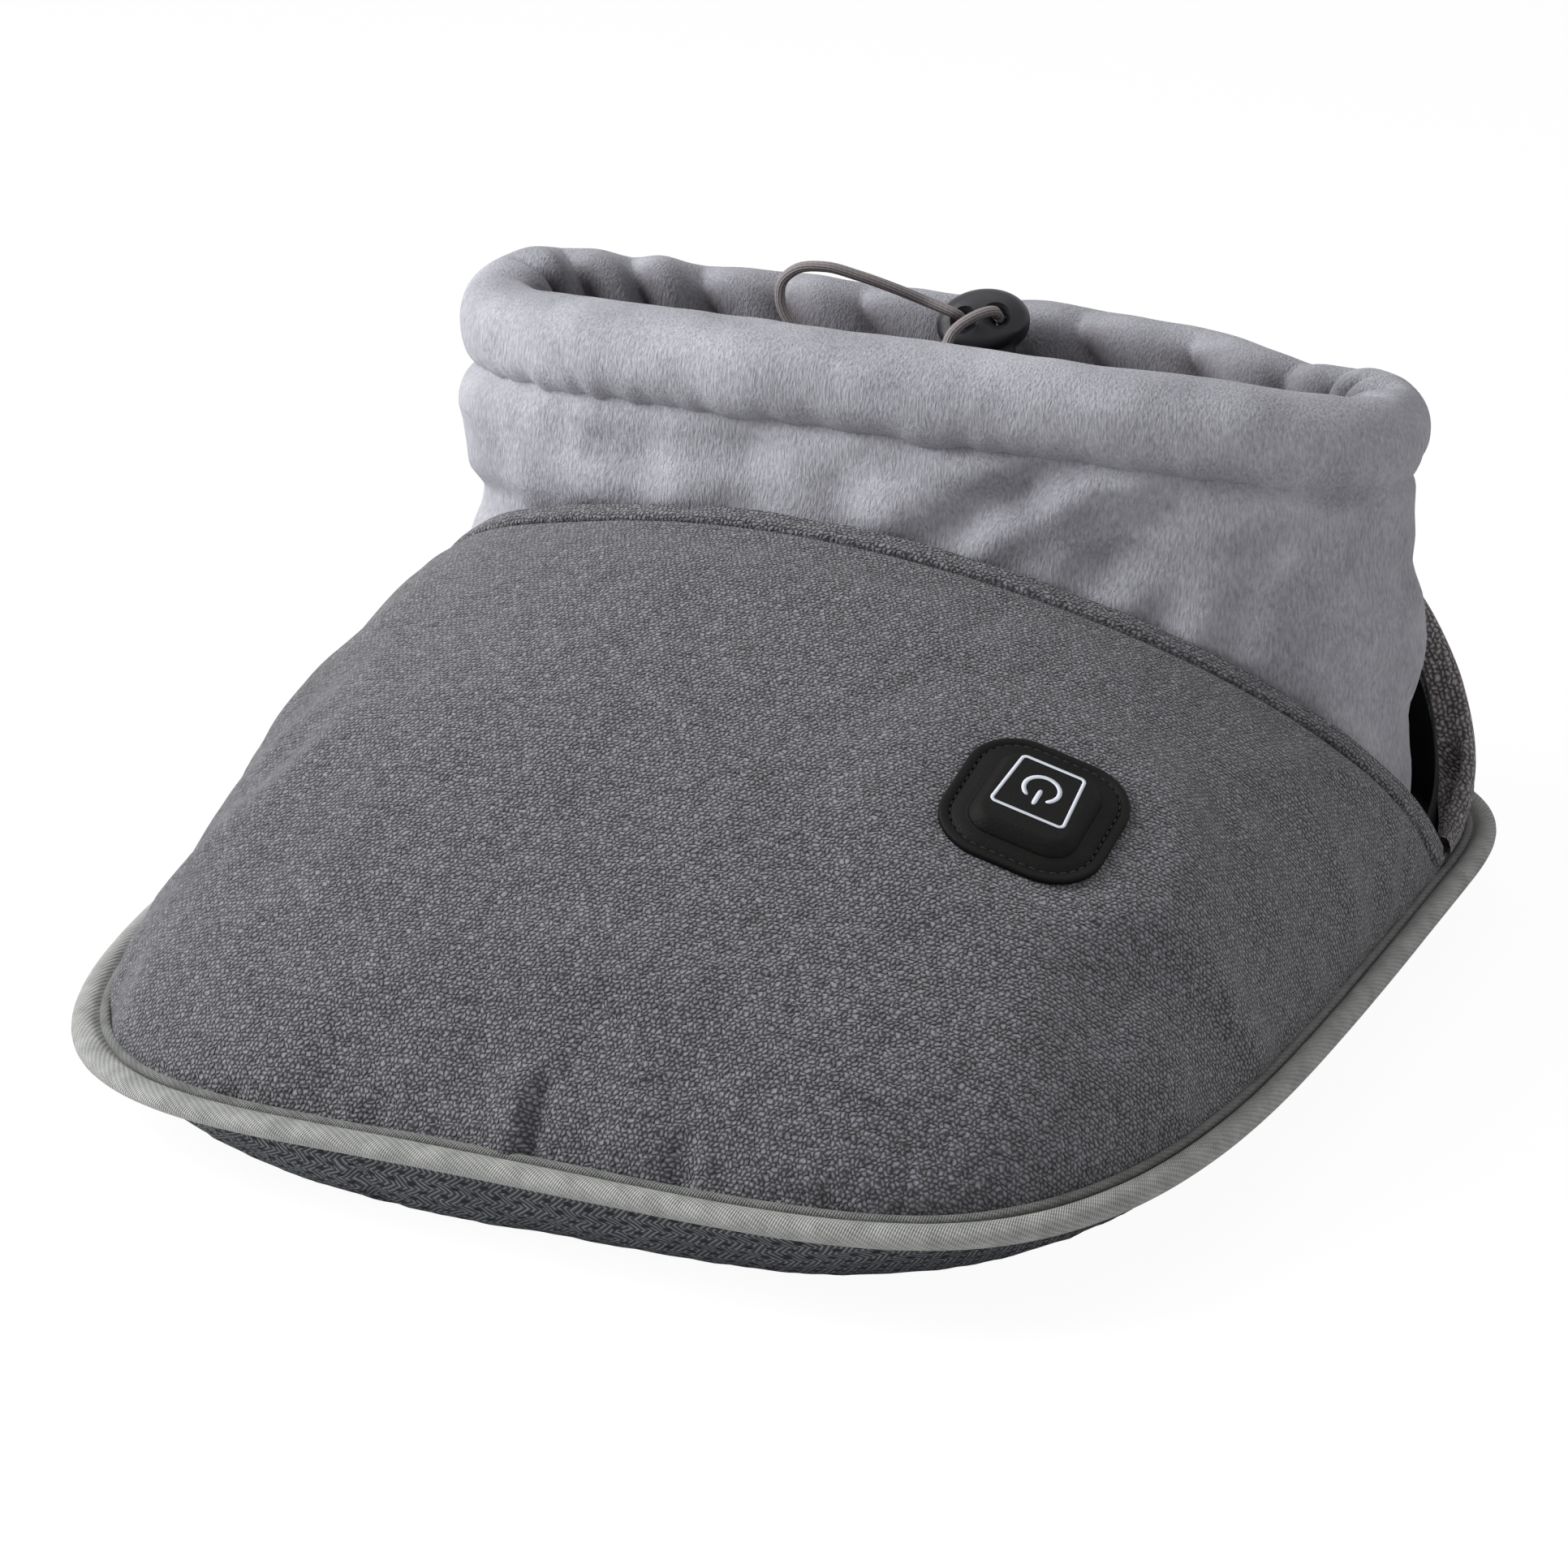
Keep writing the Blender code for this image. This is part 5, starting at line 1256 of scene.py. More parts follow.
@dataclass(frozen=True)
class Collar:
    """Plush collar: outer wall, inner wall with pleats, and the rolled rim that the cord runs in. The
    rim slumps in places: each slump is its angle, its width and how far it lifts the rim's top."""

    half_width: float = 0.1275
    depth: float = 0.0475
    centre: float = 0.0925
    squareness: float = 2.15
    height: float = 0.1435
    front_lift: float = 0.0110
    heel_drop: float = 0.0045
    half_thickness: float = 0.013
    half_height: float = 0.0135
    roll_inset: float = 0.0006
    wall_outset: float = 0.007
    wall: float = 0.003
    heel_draw_in: float = 0.0055
    bulge_reach: float = 0.030
    front_low: float = 0.097
    insole_top: float = 0.0293
    pleat_depth: float = 0.0088
    lock_angle: float = 4.75
    slumps: tuple[tuple[float, float, float], ...] = ((3.35, 0.45, 0.0055), (5.52, 0.26, -0.0048))
    padding: Padding = Padding(220, 30, pressure=3.0, spare=0.04, cap=0.0015, sink=0.0012, closed=True)

    def plan(self, angle: float, outset: float) -> Vector:
        """Point round the rim's centre line in plan, moved outwards."""
        power = 2 / self.squareness
        point = superellipse(angle, self.half_width, -self.depth, power, self.centre)
        outward = superellipse(angle, 1 / self.half_width, -1 / self.depth, 2 - power)
        return point + outward.normalized() * outset

    def rim_height(self, angle: float) -> float:
        """Height of the rim's centre line."""
        lift = math.sin(angle)
        return self.height + (self.front_lift if lift > 0 else self.heel_drop) * signed_power(lift, 1.5)

    def wall_point(self, angle: float, up: float, depth: float, fold: float) -> Vector:
        """Point of the collar's wall.

        Args:
            angle: angle round it.
            up: place up it.
            depth: depth inwards from its outer face.
            fold: how far a fold moves it outwards.

        Returns:
            The point.
        """
        top = self.rim_height(angle) - self.half_height + 0.004
        bottom = self.insole_top + (self.front_low - self.insole_top) * max(math.sin(angle), 0) ** 0.9
        height = bottom + (top - bottom) * up
        heel = max(-math.sin(angle), 0) ** 2
        profile = RIGHT_PROFILE if math.cos(angle) > 0 else LEFT_PROFILE
        bulge = look_up(top - height, [below for below, _ in profile], [outset for _, outset in profile])
        outset = self.wall_outset + math.cos(angle) ** 2 * (bulge - self.wall_outset)
        outset -= heel * self.heel_draw_in * smooth((top - height) / self.bulge_reach)
        return raised(self.plan(angle, outset + fold - depth), height)

    @cached_property
    def swelling(self) -> Callable[[float, float], float]:
        """How far the outer wall's plush bags out."""
        return self.padding.swell(lambda along, up: self.wall_point(along * math.tau, up, 0, 0))

    def outer_wall(self, along: float, up: float) -> Vector:
        """Point of the outer wall, with its slanting folds."""
        angle = along * math.tau
        even = self.wall_point(angle, up, 0, 0)
        slack = math.sin(math.pi * min(max(up, 0.0), 1.0)) ** 0.7
        folds = sum(crease.at(even.x, even.z) for crease in COLLAR_CREASES) if math.sin(angle) > 0 else 0.0
        folds *= smooth((1 - up) / 0.12)
        soft = 0.0016 * uneven(even, 0.045) + 0.0008 * uneven(even + Vector((3, 1, 2)), 0.016)
        tuck = 0.0020 * hump((1 - up) / 0.06)
        return self.wall_point(angle, up, 0, folds + slack * soft + self.swelling(along, up) - tuck)

    def inner_wall(self, along: float, up: float) -> Vector:
        """Point of the inner wall, gathered into pleats that slant."""
        angle = along * math.tau
        even = self.wall_point(angle, up, 2 * self.wall, 0)
        return self.wall_point(angle, up, 2 * self.wall, -self.pleat(angle, even.z))

    def lobe(self, angle: float, height: float) -> float:
        """Section of the slanting pleats: 0 in a sharp valley, 1 on a round top."""
        phase = 26 * angle + 150 * (height - 0.13) + 1.6 * math.sin(3 * angle)
        return abs(math.sin(phase / 2)) ** 0.7

    def gathered(self, angle: float) -> float:
        """How far a place round the collar belongs to its gathered rear."""
        return smooth(-math.sin(angle) * 1.8 + 0.7)

    def pleat(self, angle: float, height: float) -> float:
        """How far a pleat stands into the opening. It lies flatter where the cord lock slides up to it."""
        deep = 0.65 + 0.5 * uneven(Vector((3 * angle, 0, 0)), 1.0)
        deep -= 0.22 * hump((angle - self.lock_angle) / 0.20)
        return self.gathered(angle) * deep * self.pleat_depth * self.lobe(angle, height)

    def roll(self, along: float, turn: float) -> Vector:
        """Point round the rolled rim. Its puckers start at the crease on its underside."""
        angle = along * math.tau
        around = turn * math.tau
        centre = raised(self.plan(angle, 0), self.rim_height(angle))
        outset = (self.half_thickness - self.roll_inset) * signed_power(math.cos(around), 0.9)
        lift = (self.half_height - self.roll_inset) * signed_power(math.sin(around), 0.9)
        slump = sum(height * hump((angle - middle) / width) for middle, width, height in self.slumps)
        lift += slump * smooth(0.6 + 0.6 * math.sin(around))
        even = raised(self.plan(angle, outset), centre.z + lift)
        out = (even - centre).normalized()
        soft = 0.0011 * uneven(even, 0.034) + 0.0005 * uneven(even + Vector((5, 5, 5)), 0.013)
        crease = smooth(-math.sin(around) * 1.3)
        puckers = 0.0014 * crease * uneven(Vector((angle * 2.2, 0, 7)), 0.12)
        inner = smooth(0.55 - math.cos(around))
        gathers = inner * (self.pleat(angle, even.z) - 0.5 * self.pleat_depth)
        return even + out * (soft + puckers + gathers * self.gathered(angle))

    def roll_painted_shade(self, along: float, turn: float) -> float:
        """Painted shade on the rim: darker on the opening's side, and most in the pleats' valleys."""
        angle, around = along * math.tau, turn * math.tau
        height = self.rim_height(angle) + self.half_height * math.sin(around)
        valley = self.gathered(angle) * (1 - self.lobe(angle, height))
        return smooth(-1.3 * math.cos(around) - 0.2) * (0.6 + 0.4 * valley)

    def build(self) -> None:
        """Builds both walls and the rim."""
        wall = fabric_grid(self.outer_wall, 380, 56)
        dress("plush_wall", wall, PLUSH, "collar_wall", wall=0.0028)
        lining = fabric_grid(self.inner_wall, 620, 56)
        dress("plush_lining", lining, SHADED_PLUSH, "collar_lining", wall=0.0005)
        # The rim's plush gets painted shade on its inner side and in the pleats' valleys.
        roll = fabric_grid(self.roll, 620, 64, inside=self.roll_painted_shade)
        dress("plush_roll", roll, PLUSH, "collar_roll")


# Outset of the collar's outer wall at its left and right side, by the distance below the rim
LEFT_PROFILE = (
    (0.0, 0.0095), (0.004, 0.0122), (0.013, 0.0132), (0.030, 0.0105), (0.036, 0.0066), (0.042, 0.0068),
    (0.048, 0.0094), (0.055, 0.0128), (0.065, 0.0150), (0.120, 0.0145),
)
RIGHT_PROFILE = (
    (0.0, 0.0090), (0.005, 0.0098), (0.028, 0.0098), (0.038, 0.0122), (0.048, 0.0130), (0.080, 0.0115),
    (0.120, 0.0115),
)

COLLAR_CREASES = (
    Crease((0.0056, 0.1215), (0.0405, 0.1385), 0.0082, 0.0026),
    Crease((0.0317, 0.1215), (0.0590, 0.1400), 0.0060, -0.0044),
    Crease((0.0388, 0.1180), (0.0718, 0.1401), 0.0078, 0.0036),
    Crease((0.0700, 0.1120), (0.0880, 0.1360), 0.0072, -0.0024),
    Crease((-0.1000, 0.1130), (-0.0500, 0.1240), 0.0095, 0.0022),
    Crease((-0.0850, 0.1240), (-0.0300, 0.1330), 0.0072, -0.0016),
)


@dataclass(frozen=True)
class Sole:
    """Pillow-shaped sole of spacer mesh, with what lies in it, and the piping round its seam."""

    contact_inset: float = 0.022
    contact_squareness: float = 3.6
    floor_centre: float = 0.02
    roundness: float = 2.2
    crease_along: float = 0.3665
    sag_along: float = 0.36
    piping_radius: float = 0.003
    tail_root: tuple[float, float] = (0.0068, 0.0007)
    tail_end: tuple[float, float] = (0.0130, 0.0005)
    lip_radius: float = 0.0012
    lip_inset: float = 0.0073
    lip_lift: float = 0.0018
    insole_inset: float = 0.0185
    insole_base: float = 0.0220
    insole_thickness: float = 0.007

    def side(self, angle: float, share: float) -> Vector:
        """Point of the sole's side, from the floor (0) to the seam (1)."""
        turn = min(max(share, 0.0), 1.0) * QUARTER
        over = math.cos(turn) ** (2 / self.roundness)
        rise = math.sin(turn) ** (2 / self.roundness)
        inset = BASE.seam_inset + (self.contact_inset - BASE.seam_inset) * (1 - rise)
        toe = BASE.toe_squareness + (self.contact_squareness - BASE.toe_squareness) * over
        heel = BASE.heel_squareness + (self.contact_squareness - BASE.heel_squareness) * over
        height = (BASE.seam_height(angle) - BASE.tail / 2 - GAP) * (1 - math.cos(turn)) ** 0.9
        return raised(BASE.point(angle, inset, toe, heel), height)

    def cover(self, along: float, up: float) -> Vector:
        """Point of the mesh cover: the underside in its first third, then the side."""
        angle = BASE.angle_along(BASE.round_angles, along)
        if up < 1 / 3:
            return self.side(angle, 0) * (up * 3) + Vector((0, self.floor_centre, 0)) * (1 - up * 3)
        share = (up * 3 - 1) / 2
        point = self.side(angle, share)
        out = BASE.point(angle, 0, 2, 2) - Vector((0, (BASE.widest_share - 0.5) * BASE.length, 0))
        bumps = 0.0009 * uneven(point, 0.0045) + 0.0009 * uneven(point, 0.02)
        bumps -= 0.0016 * hump((along - self.crease_along) / 0.0022)
        sag = 0.0035 * hump((along - self.sag_along) / 0.05) * (1 - share)
        return point + out.normalized() * (bumps * math.sin(math.pi * share) + sag)

    @cached_property
    def piping_section(self) -> list[tuple[float, float]]:
        """Inset and lift round the piping's section: its cord, and the flat tail that is sewn in."""
        turns = [math.radians(-150 + 300 * i / 20) for i in range(21)]
        cord = [(self.piping_radius * (1 - math.cos(turn)), self.piping_radius * math.sin(turn)) for turn in turns]
        tail = [self.tail_root, self.tail_end]
        return [*cord, *tail, *[(inset, -lift) for inset, lift in tail[::-1]]]

    def piping(self, along: float, turn: float) -> Vector:
        """Point round the piping."""
        angle = BASE.angle_along(BASE.round_angles, along)
        inset, lift = self.piping_section[round(turn * len(self.piping_section)) % len(self.piping_section)]
        middle = BASE.point(angle, self.piping_radius)
        swell = 1 + 0.03 * uneven(middle, 0.02)
        return raised(BASE.point(angle, inset), BASE.seam_height(angle) + lift * swell + 0.0003 * uneven(middle, 0.05))

    def lip(self, along: float, turn: float) -> Vector:
        """Point round the folded lip of the tape, between the piping and the upper."""
        angle = BASE.angle_along(BASE.round_angles, along)
        inset = self.lip_inset - self.lip_radius * math.cos(turn * math.tau)
        lift = self.lip_lift + self.lip_radius * math.sin(turn * math.tau)
        wave = 0.00035 * uneven(BASE.point(angle, 0), 0.03)
        return raised(BASE.point(angle, inset), BASE.seam_height(angle) + lift + wave)

    def insole(self, along: float, up: float) -> Vector:
        """Point of the insole, from the middle of its underside over its edge to its top."""
        angle = BASE.angle_along(BASE.round_angles, along)
        half = self.insole_thickness / 2
        turn = (up - 0.5) * 2
        level = self.insole_base + half + half * signed_power(math.sin(max(min(turn * 4, 1), -1) * QUARTER), 0.8)
        drawn = half * (1 - math.cos(max(min(turn * 4, 1), -1) * QUARTER))
        edge = BASE.point(angle, self.insole_inset + drawn)
        middle = Vector((0, 0.01, 0))
        share = min(max((abs(turn) - 0.25) / 0.75, 0.0), 1.0)
        point = raised(edge.lerp(middle, share), level)
        dent = 0.0006 * uneven(point, 0.03) * (1 if turn > 0 else 0) * smooth(share * 6)
        return point + Vector((0, 0, dent - 0.0006 * smooth(share * 6)))

    def build(self) -> None:
        """Builds cover, piping, lip and insole."""
        cover = fabric_grid(self.cover, 560, 45)
        self.lay_flat(cover)
        dress("mesh_sole", cover, MESH, "sole_cover")
        sleeve = fabric_grid(self.piping, 620, len(self.piping_section))
        dress("piping_sleeve", sleeve, TWILL, "edge_piping")
        # The lip's darker twill is painted shade of the crease.
        dress("piping_lip", fabric_grid(self.lip, 620, 12), SHADED_TWILL)
        dress("plush_insole", fabric_grid(self.insole, 200, 60), SHADED_PLUSH, "insole")

    def lay_flat(self, shape: bmesh.types.BMesh) -> None:
        """Maps the mesh's holes in plan, unrolled outwards from the edge of the floor contact."""
        weave = shape.loops.layers.uv[WEAVE]
        for face in shape.faces:
            for loop in face.loops:
                co = loop.vert.co
                out = Vector((co.x, co.y - self.floor_centre)).normalized()
                loop[weave].uv = co.xy + out * co.z * 1.05


@dataclass(frozen=True)
class PowerPatch:
    """Leatherette patch with a stitched edge, and the soft button with its printed power sign."""

    frame: Matrix
    width: float = 0.0425
    length: float = 0.0460
    corner: float = 0.0145
    thickness: float = 0.0016
    groove_inset: float = 0.0023
    groove_width: float = 0.0008
    groove_depth: float = 0.0010
    recess: float = 0.0018
    stitch_pitch: float = 0.0026
    stitch_half: tuple[float, float, float] = (0.00115, 0.00022, 0.00022)
    bar_steps: int = 10
    bar_step: float = 0.00066
    pad_width: float = 0.0270
    pad_length: float = 0.0300
    pad_corner: float = 0.0072
    pad_slope: float = 0.0040
    pad_height: float = 0.0055
    line: float = 0.0009
    sign_middle: Vector = Vector((-0.0003, 0.0024, 0)).freeze()
    sign_half_x: float = 0.0089
    sign_half_y: float = 0.0097
    sign_flare: float = 0.0006
    sign_corner: float = 0.0013
    arc_centre: Vector = Vector((-0.0002, 0.0029, 0)).freeze()
    arc_radius: float = 0.0045
    arc_opening: float = 0.58

    def tablet(self, width: float, length: float, corner: float, low: float, high: float) -> bmesh.types.BMesh:
        """Block with rounded corners, in the patch's frame.

        Args:
            width: its size in X.
            length: its size in Y.
            corner: radius of its corners.
            low: its lower end.
            high: its upper end.

        Returns:
            The shape.
        """
        shape = bmesh.new()
        bmesh.ops.create_cube(shape, size=1)
        bmesh.ops.scale(shape, vec=(width, length, high - low), verts=shape.verts)
        upright = [e for e in shape.edges if abs(e.verts[0].co.z - e.verts[1].co.z) > 1e-6]
        bmesh.ops.bevel(shape, geom=upright, offset=corner, segments=12, profile=0.5, affect="EDGES", material=-1)
        bmesh.ops.translate(shape, vec=(0, 0, (low + high) / 2), verts=shape.verts)
        return shape

    def top_of(self, shape: bmesh.types.BMesh) -> bmesh.types.BMFace:
        """Its highest face that looks straight up."""
        level = [face for face in shape.faces if face.normal.z > 0.99]
        return max(level, key=lambda face: (face.calc_center_median().z, -face.calc_area()))

    def step(self, shape: bmesh.types.BMesh, face: bmesh.types.BMFace, inset: float, rise: float) -> None:
        """Insets a face and moves it up."""
        bmesh.ops.inset_region(shape, faces=[face], thickness=inset, use_even_offset=True)
        bmesh.ops.translate(shape, vec=(0, 0, rise), verts=face.verts)

    def flange(self) -> bmesh.types.BMesh:
        """The patch with its stitched groove, and a recess for the button."""
        shape = self.tablet(self.width, self.length, self.corner, GAP, GAP + self.thickness - 0.0005)
        shape.normal_update()
        face = self.top_of(shape)
        for inset, rise in ((0.0001, 0.0002), (0.0002, 0.0002), (0.0004, 0.0001)):
            self.step(shape, face, inset, rise)
        half = self.groove_width / 2
        self.step(shape, face, self.groove_inset - 0.0007, 0)
        for inset, rise in ((half * 0.6, -self.groove_depth), (half * 0.8, 0), (half * 0.6, self.groove_depth)):
            self.step(shape, face, inset, rise)
        self.step(shape, face, 0.0032, 0)
        for inset, rise in ((0.0003, 0.0001), (0.0003, 0.0001), (0.0003, 0.0002)):
            self.step(shape, face, inset, rise)
        self.step(shape, face, 0.0001, -self.recess)
        return shape

    def pad(self) -> bmesh.types.BMesh:
        """The soft button: its edge swells out of the patch and turns over to a crowned top."""
        base = GAP + self.thickness + 0.0003
        foot = 0.0012
        shape = self.tablet(self.pad_width + foot, self.pad_length + foot, self.pad_corner, base - foot, base)
        shape.normal_update()
        face = self.top_of(shape)
        rise = self.pad_height - base
        before = 0.0
        for i in range(1, 15):
            share = i / 14
            level = math.sin(min(share * 1.25, 1.0) * QUARTER) ** 0.9 * 0.94 + 0.06 * share
            self.step(shape, face, self.pad_slope / 14, (level - before) * rise)
            before = level
        return shape

    def ribbon(self, points: Sequence[Vector], closed: bool, width: float) -> bmesh.types.BMesh:
        """Thin printed line along points, a little above the button.

        Args:
            points: its middle line, in the patch's frame.
            closed: whether it runs back to its start.
            width: its width.

        Returns:
            The shape.
        """
        count = len(points)
        ends = [(points[i - 1], points[(i + 1) % count]) for i in range(count)]
        if not closed:
            ends[0] = (points[0], points[1])
            ends[-1] = (points[-2], points[-1])

        def line(place: float, across: float) -> Vector:
            """Point of the line, which narrows to round ends."""
            i = round(place * (count if closed else count - 1)) % count
            before, after = ends[i]
            aside = (after - before).cross(Vector((0, 0, 1))).normalized()
            taper = 1.0 if closed else (0.45, 0.88, 1.0)[min(i, count - 1 - i, 2)]
            return points[i] + aside * width * taper * (across - 0.5) + Vector((0, 0, self.pad_height + 0.00012))

        shape = put(fabric_grid(line, count if closed else count - 1, 1), self.frame)
        shape.normal_update()
        if sum(face.normal.dot(self.frame.col[2].xyz) for face in shape.faces) < 0:
            bmesh.ops.reverse_faces(shape, faces=shape.faces)
        return shape

    def sign(self) -> dict[str, bmesh.types.BMesh]:
        """The printed frame, and the arc and bar of the power sign."""
        frame_points = []
        for x, y, start in ((1, 1, 0), (-1, 1, 1), (-1, -1, 2), (1, -1, 3)):
            reach_x = self.sign_half_x - y * self.sign_flare - self.sign_corner
            reach_y = self.sign_half_y - self.sign_corner
            centre = self.sign_middle + Vector((x * reach_x, y * reach_y, 0))
            for i in range(7):
                turn = (start + i / 6) * QUARTER
                frame_points.append(centre + Vector((math.cos(turn), math.sin(turn), 0)) * self.sign_corner)
        arc = []
        for i in range(41):
            turn = self.arc_opening - QUARTER + (math.tau - 2 * self.arc_opening) * i / 40
            arc.append(self.arc_centre + Vector((math.cos(turn), math.sin(turn), 0)) * self.arc_radius)
        bar = [self.arc_centre + Vector((0, -GAP - self.bar_step * i, 0)) for i in range(self.bar_steps)]
        return {
            "sign_frame": self.ribbon(frame_points, True, self.line),
            "sign_arc": self.ribbon(arc, False, self.line * 1.3),
            "sign_bar": self.ribbon(bar, False, self.line * 1.4),
        }

    def stitches(self) -> bmesh.types.BMesh:
        """Black stitches in the patch's groove."""
        shape = bmesh.new()
        inset = self.groove_inset + self.groove_width * 0.5
        guide = self.tablet(self.width - 2 * inset, self.length - 2 * inset, self.corner - inset, 0, 0.001)
        guide.normal_update()
        ring = [v.co.copy() for v in self.top_of(guide).verts]
        guide.free()
        ring.append(ring[0])
        lengths = running_lengths(ring)
        count = round(lengths[-1] / self.stitch_pitch)
        for i in range(count):
            here = look_up(lengths[-1] * (i + 0.5) / count, lengths, ring)
            ahead = look_up(lengths[-1] * (i + 0.6) / count, lengths, ring)
            made = bmesh.ops.create_icosphere(shape, subdivisions=1, radius=1)["verts"]
            bmesh.ops.scale(shape, vec=self.stitch_half, verts=made)
            turn = Matrix.Rotation(math.atan2(ahead.y - here.y, ahead.x - here.x), 4, "Z")
            level = GAP + self.thickness - self.groove_depth * 0.35
            bmesh.ops.transform(shape, matrix=Matrix.Translation((here.x, here.y, level)) @ turn, verts=made)
        return shape

    def build(self) -> None:
        """Builds patch, stitches, button and print."""
        for name, shape, finish, node, body in (
            ("patch_flange", self.flange(), LEATHER, "button_patch", Body.BOOT),
            ("patch_stitches", self.stitches(), THREAD, None, Body.BOOT),
            ("soft_button", self.pad(), LEATHER, "power_button", Body.BUTTON),
        ):
            bmesh.ops.recalc_face_normals(put(shape, self.frame), faces=shape.faces)
            piece = dress(name, shape, finish, *([node] if node else []), body=body)
        for name, shape in self.sign().items():
            dress(name, shape, PRINT, body=Body.BUTTON, wall=0.00008)


@dataclass(frozen=True)
class CordLock:
    """Two-hole cord lock with its elastic cord: the lock's frame has X through both holes and Z the
    way that the cord leaves towards the wearer."""

    face: Vector = Vector((0.0063, 0.1120, 0.1550)).freeze()
    turn: float = math.radians(10)
    tilt: float = math.radians(30)
    roll: float = math.radians(18)
    length: float = 0.026
    height: float = 0.0175
    depth: float = 0.012
    hole_radius: float = 0.0022
    spacing: float = 0.010
    well_width: float = 0.0150
    well_height: float = 0.0145
    well_depth: float = 0.0066
    cord_radius: float = 0.0015
    cord_bend: float = 0.006
    mouth: float = 0.0024
    spare: float = 0.002

    @cached_property
    def frame(self) -> Matrix:
        """The lock's frame."""
        level = math.cos(self.tilt)
        out = Vector((math.sin(self.turn) * level, -math.cos(self.turn) * level, math.sin(self.tilt)))
        across = Vector((math.cos(self.roll), 0, math.sin(self.roll)))
        across = (across - out * across.dot(out)).normalized()
        return axes_at(self.face - out * self.depth / 2, across, out.cross(across), out)

    def strand(self, side: int, height: float) -> Vector:
        """Point on the straight stretch of one strand."""
        return self.frame @ Vector((side * self.spacing / 2, 0, height))

    def loop_points(self) -> list[Vector]:
        """Middle line of the pull loop, from one hole of the lock to the other."""
        face = self.depth / 2
        near, far = face + GAP, face + GAP + 2 * self.cord_radius
        route = [self.strand(-1, near), self.strand(-1, far), *LOOP_ROUTE, self.strand(1, far), self.strand(1, near)]
        return smooth_route(route, 0.8 * self.cord_radius)

    def drawcord_points(self, collar: Collar) -> list[Vector]:
        """Middle line of the drawcord: in through the lock, round the rim's tunnel and out again."""
        face = self.depth / 2
        heel = 3 * QUARTER
        ring = []
        for i in range(112):
            angle = heel - math.pi * (i + 0.5) / 56
            ring.append(raised(collar.plan(angle, 0), collar.rim_height(angle)))
        centre = raised(collar.plan(heel, 0), collar.rim_height(heel))
        reach = (self.frame.translation - centre).length - self.cord_bend
        heights = (face, 0, -face, self.cord_bend - reach, -reach)
        lead_in = [self.strand(-1, height) for height in heights]
        lead_out = [self.strand(1, height) for height in heights[::-1]]
        ends = lead_in[-1], lead_out[0]
        ring = [p for p in ring if all((p - end).length > 1.5 * self.cord_bend for end in ends)]
        return smooth_route([*lead_in, *ring, *lead_out], 1.6 * self.cord_radius)

    def pebble(self) -> bmesh.types.BMesh:
        """The lock's body without its holes: a flat pebble, oval in front."""
        shape = bmesh.new()
        bmesh.ops.create_uvsphere(shape, u_segments=72, v_segments=36, radius=1)
        for vert in shape.verts:
            reach = math.hypot(vert.co.x, vert.co.y)
            wide = reach ** 0.72 / reach if reach > 1e-6 else 0.0
            deep = signed_power(vert.co.z, 0.86 - 0.48 * smooth(-1.8 * vert.co.y))
            vert.co = (vert.co.x * wide, vert.co.y * wide, deep)
        bmesh.ops.scale(shape, vec=(self.length / 2, self.height / 2 + 0.0005, self.depth / 2), verts=shape.verts)
        return shape

    def hole(self, side: int) -> bmesh.types.BMesh:
        """Cutter for one hole, which widens to a rounded mouth at both faces."""
        half = self.depth / 2
        outline = [(0.0, -half - self.spare), (self.hole_radius + self.mouth, -half - self.spare)]
        for i in range(-10, 11):
            share = i / 10
            flare = self.mouth * max(abs(share) - 0.5, 0) ** 2 / 0.25
            outline.append((self.hole_radius + flare, share * half))
        outline += [(self.hole_radius + self.mouth, half + self.spare), (0.0, half + self.spare)]
        shape = turned(outline, 40)
        bmesh.ops.translate(shape, vec=(side * self.spacing / 2, 0, 0), verts=shape.verts)
        return shape

    def carved(self) -> bmesh.types.BMesh:
        """The body with its two holes and the plunger's well cut out."""
        well = bmesh.new()
        bmesh.ops.create_cube(well, size=1)
        bmesh.ops.scale(well, vec=(self.well_width, 0.020, self.well_depth), verts=well.verts)
        bmesh.ops.translate(well, vec=(0, self.well_height - self.height / 2 - 0.010, 0), verts=well.verts)
        body = helper(self.pebble())
        tools = [helper(cutter) for cutter in (self.hole(-1), self.hole(1), well)]
        for tool in tools:
            carve = body.modifiers.new("Carve", "BOOLEAN")
            carve.operation, carve.object, carve.solver = "DIFFERENCE", tool, "EXACT"
        shape = bmesh.new()
        shape.from_mesh(body.evaluated_get(bpy.context.evaluated_depsgraph_get()).to_mesh())
        discard(body, *tools)
        return shape

    def build_cords(self, collar: Collar) -> None:
        """Builds the pull loop and the drawcord."""
        path = self.loop_points()
        loop = dress("elastic_loop", cord_grid(path, self.cord_radius, 16), ELASTIC, "pull_loop")
        tuple(path[0])
        running_lengths(path)[-1]
        [tuple(point) for point in path]
        drawcord = cord_grid(self.drawcord_points(collar), self.cord_radius, 12)
        dress("elastic_drawcord", drawcord, ELASTIC, "drawcord")

    def build(self) -> None:
        """Builds the lock's body, and finishes its plunger and spring."""
        shape = put(self.carved(), self.frame)
        piece = dress("lock_pebble", shape, SLATE, "cord_lock_body", body=Body.CORD_LOCK)
        piece.data.set_sharp_from_angle(angle=math.radians(38))
        repaint(MATT, "cord_lock_plunger")
        repaint(STEEL, "cord_lock_spring")


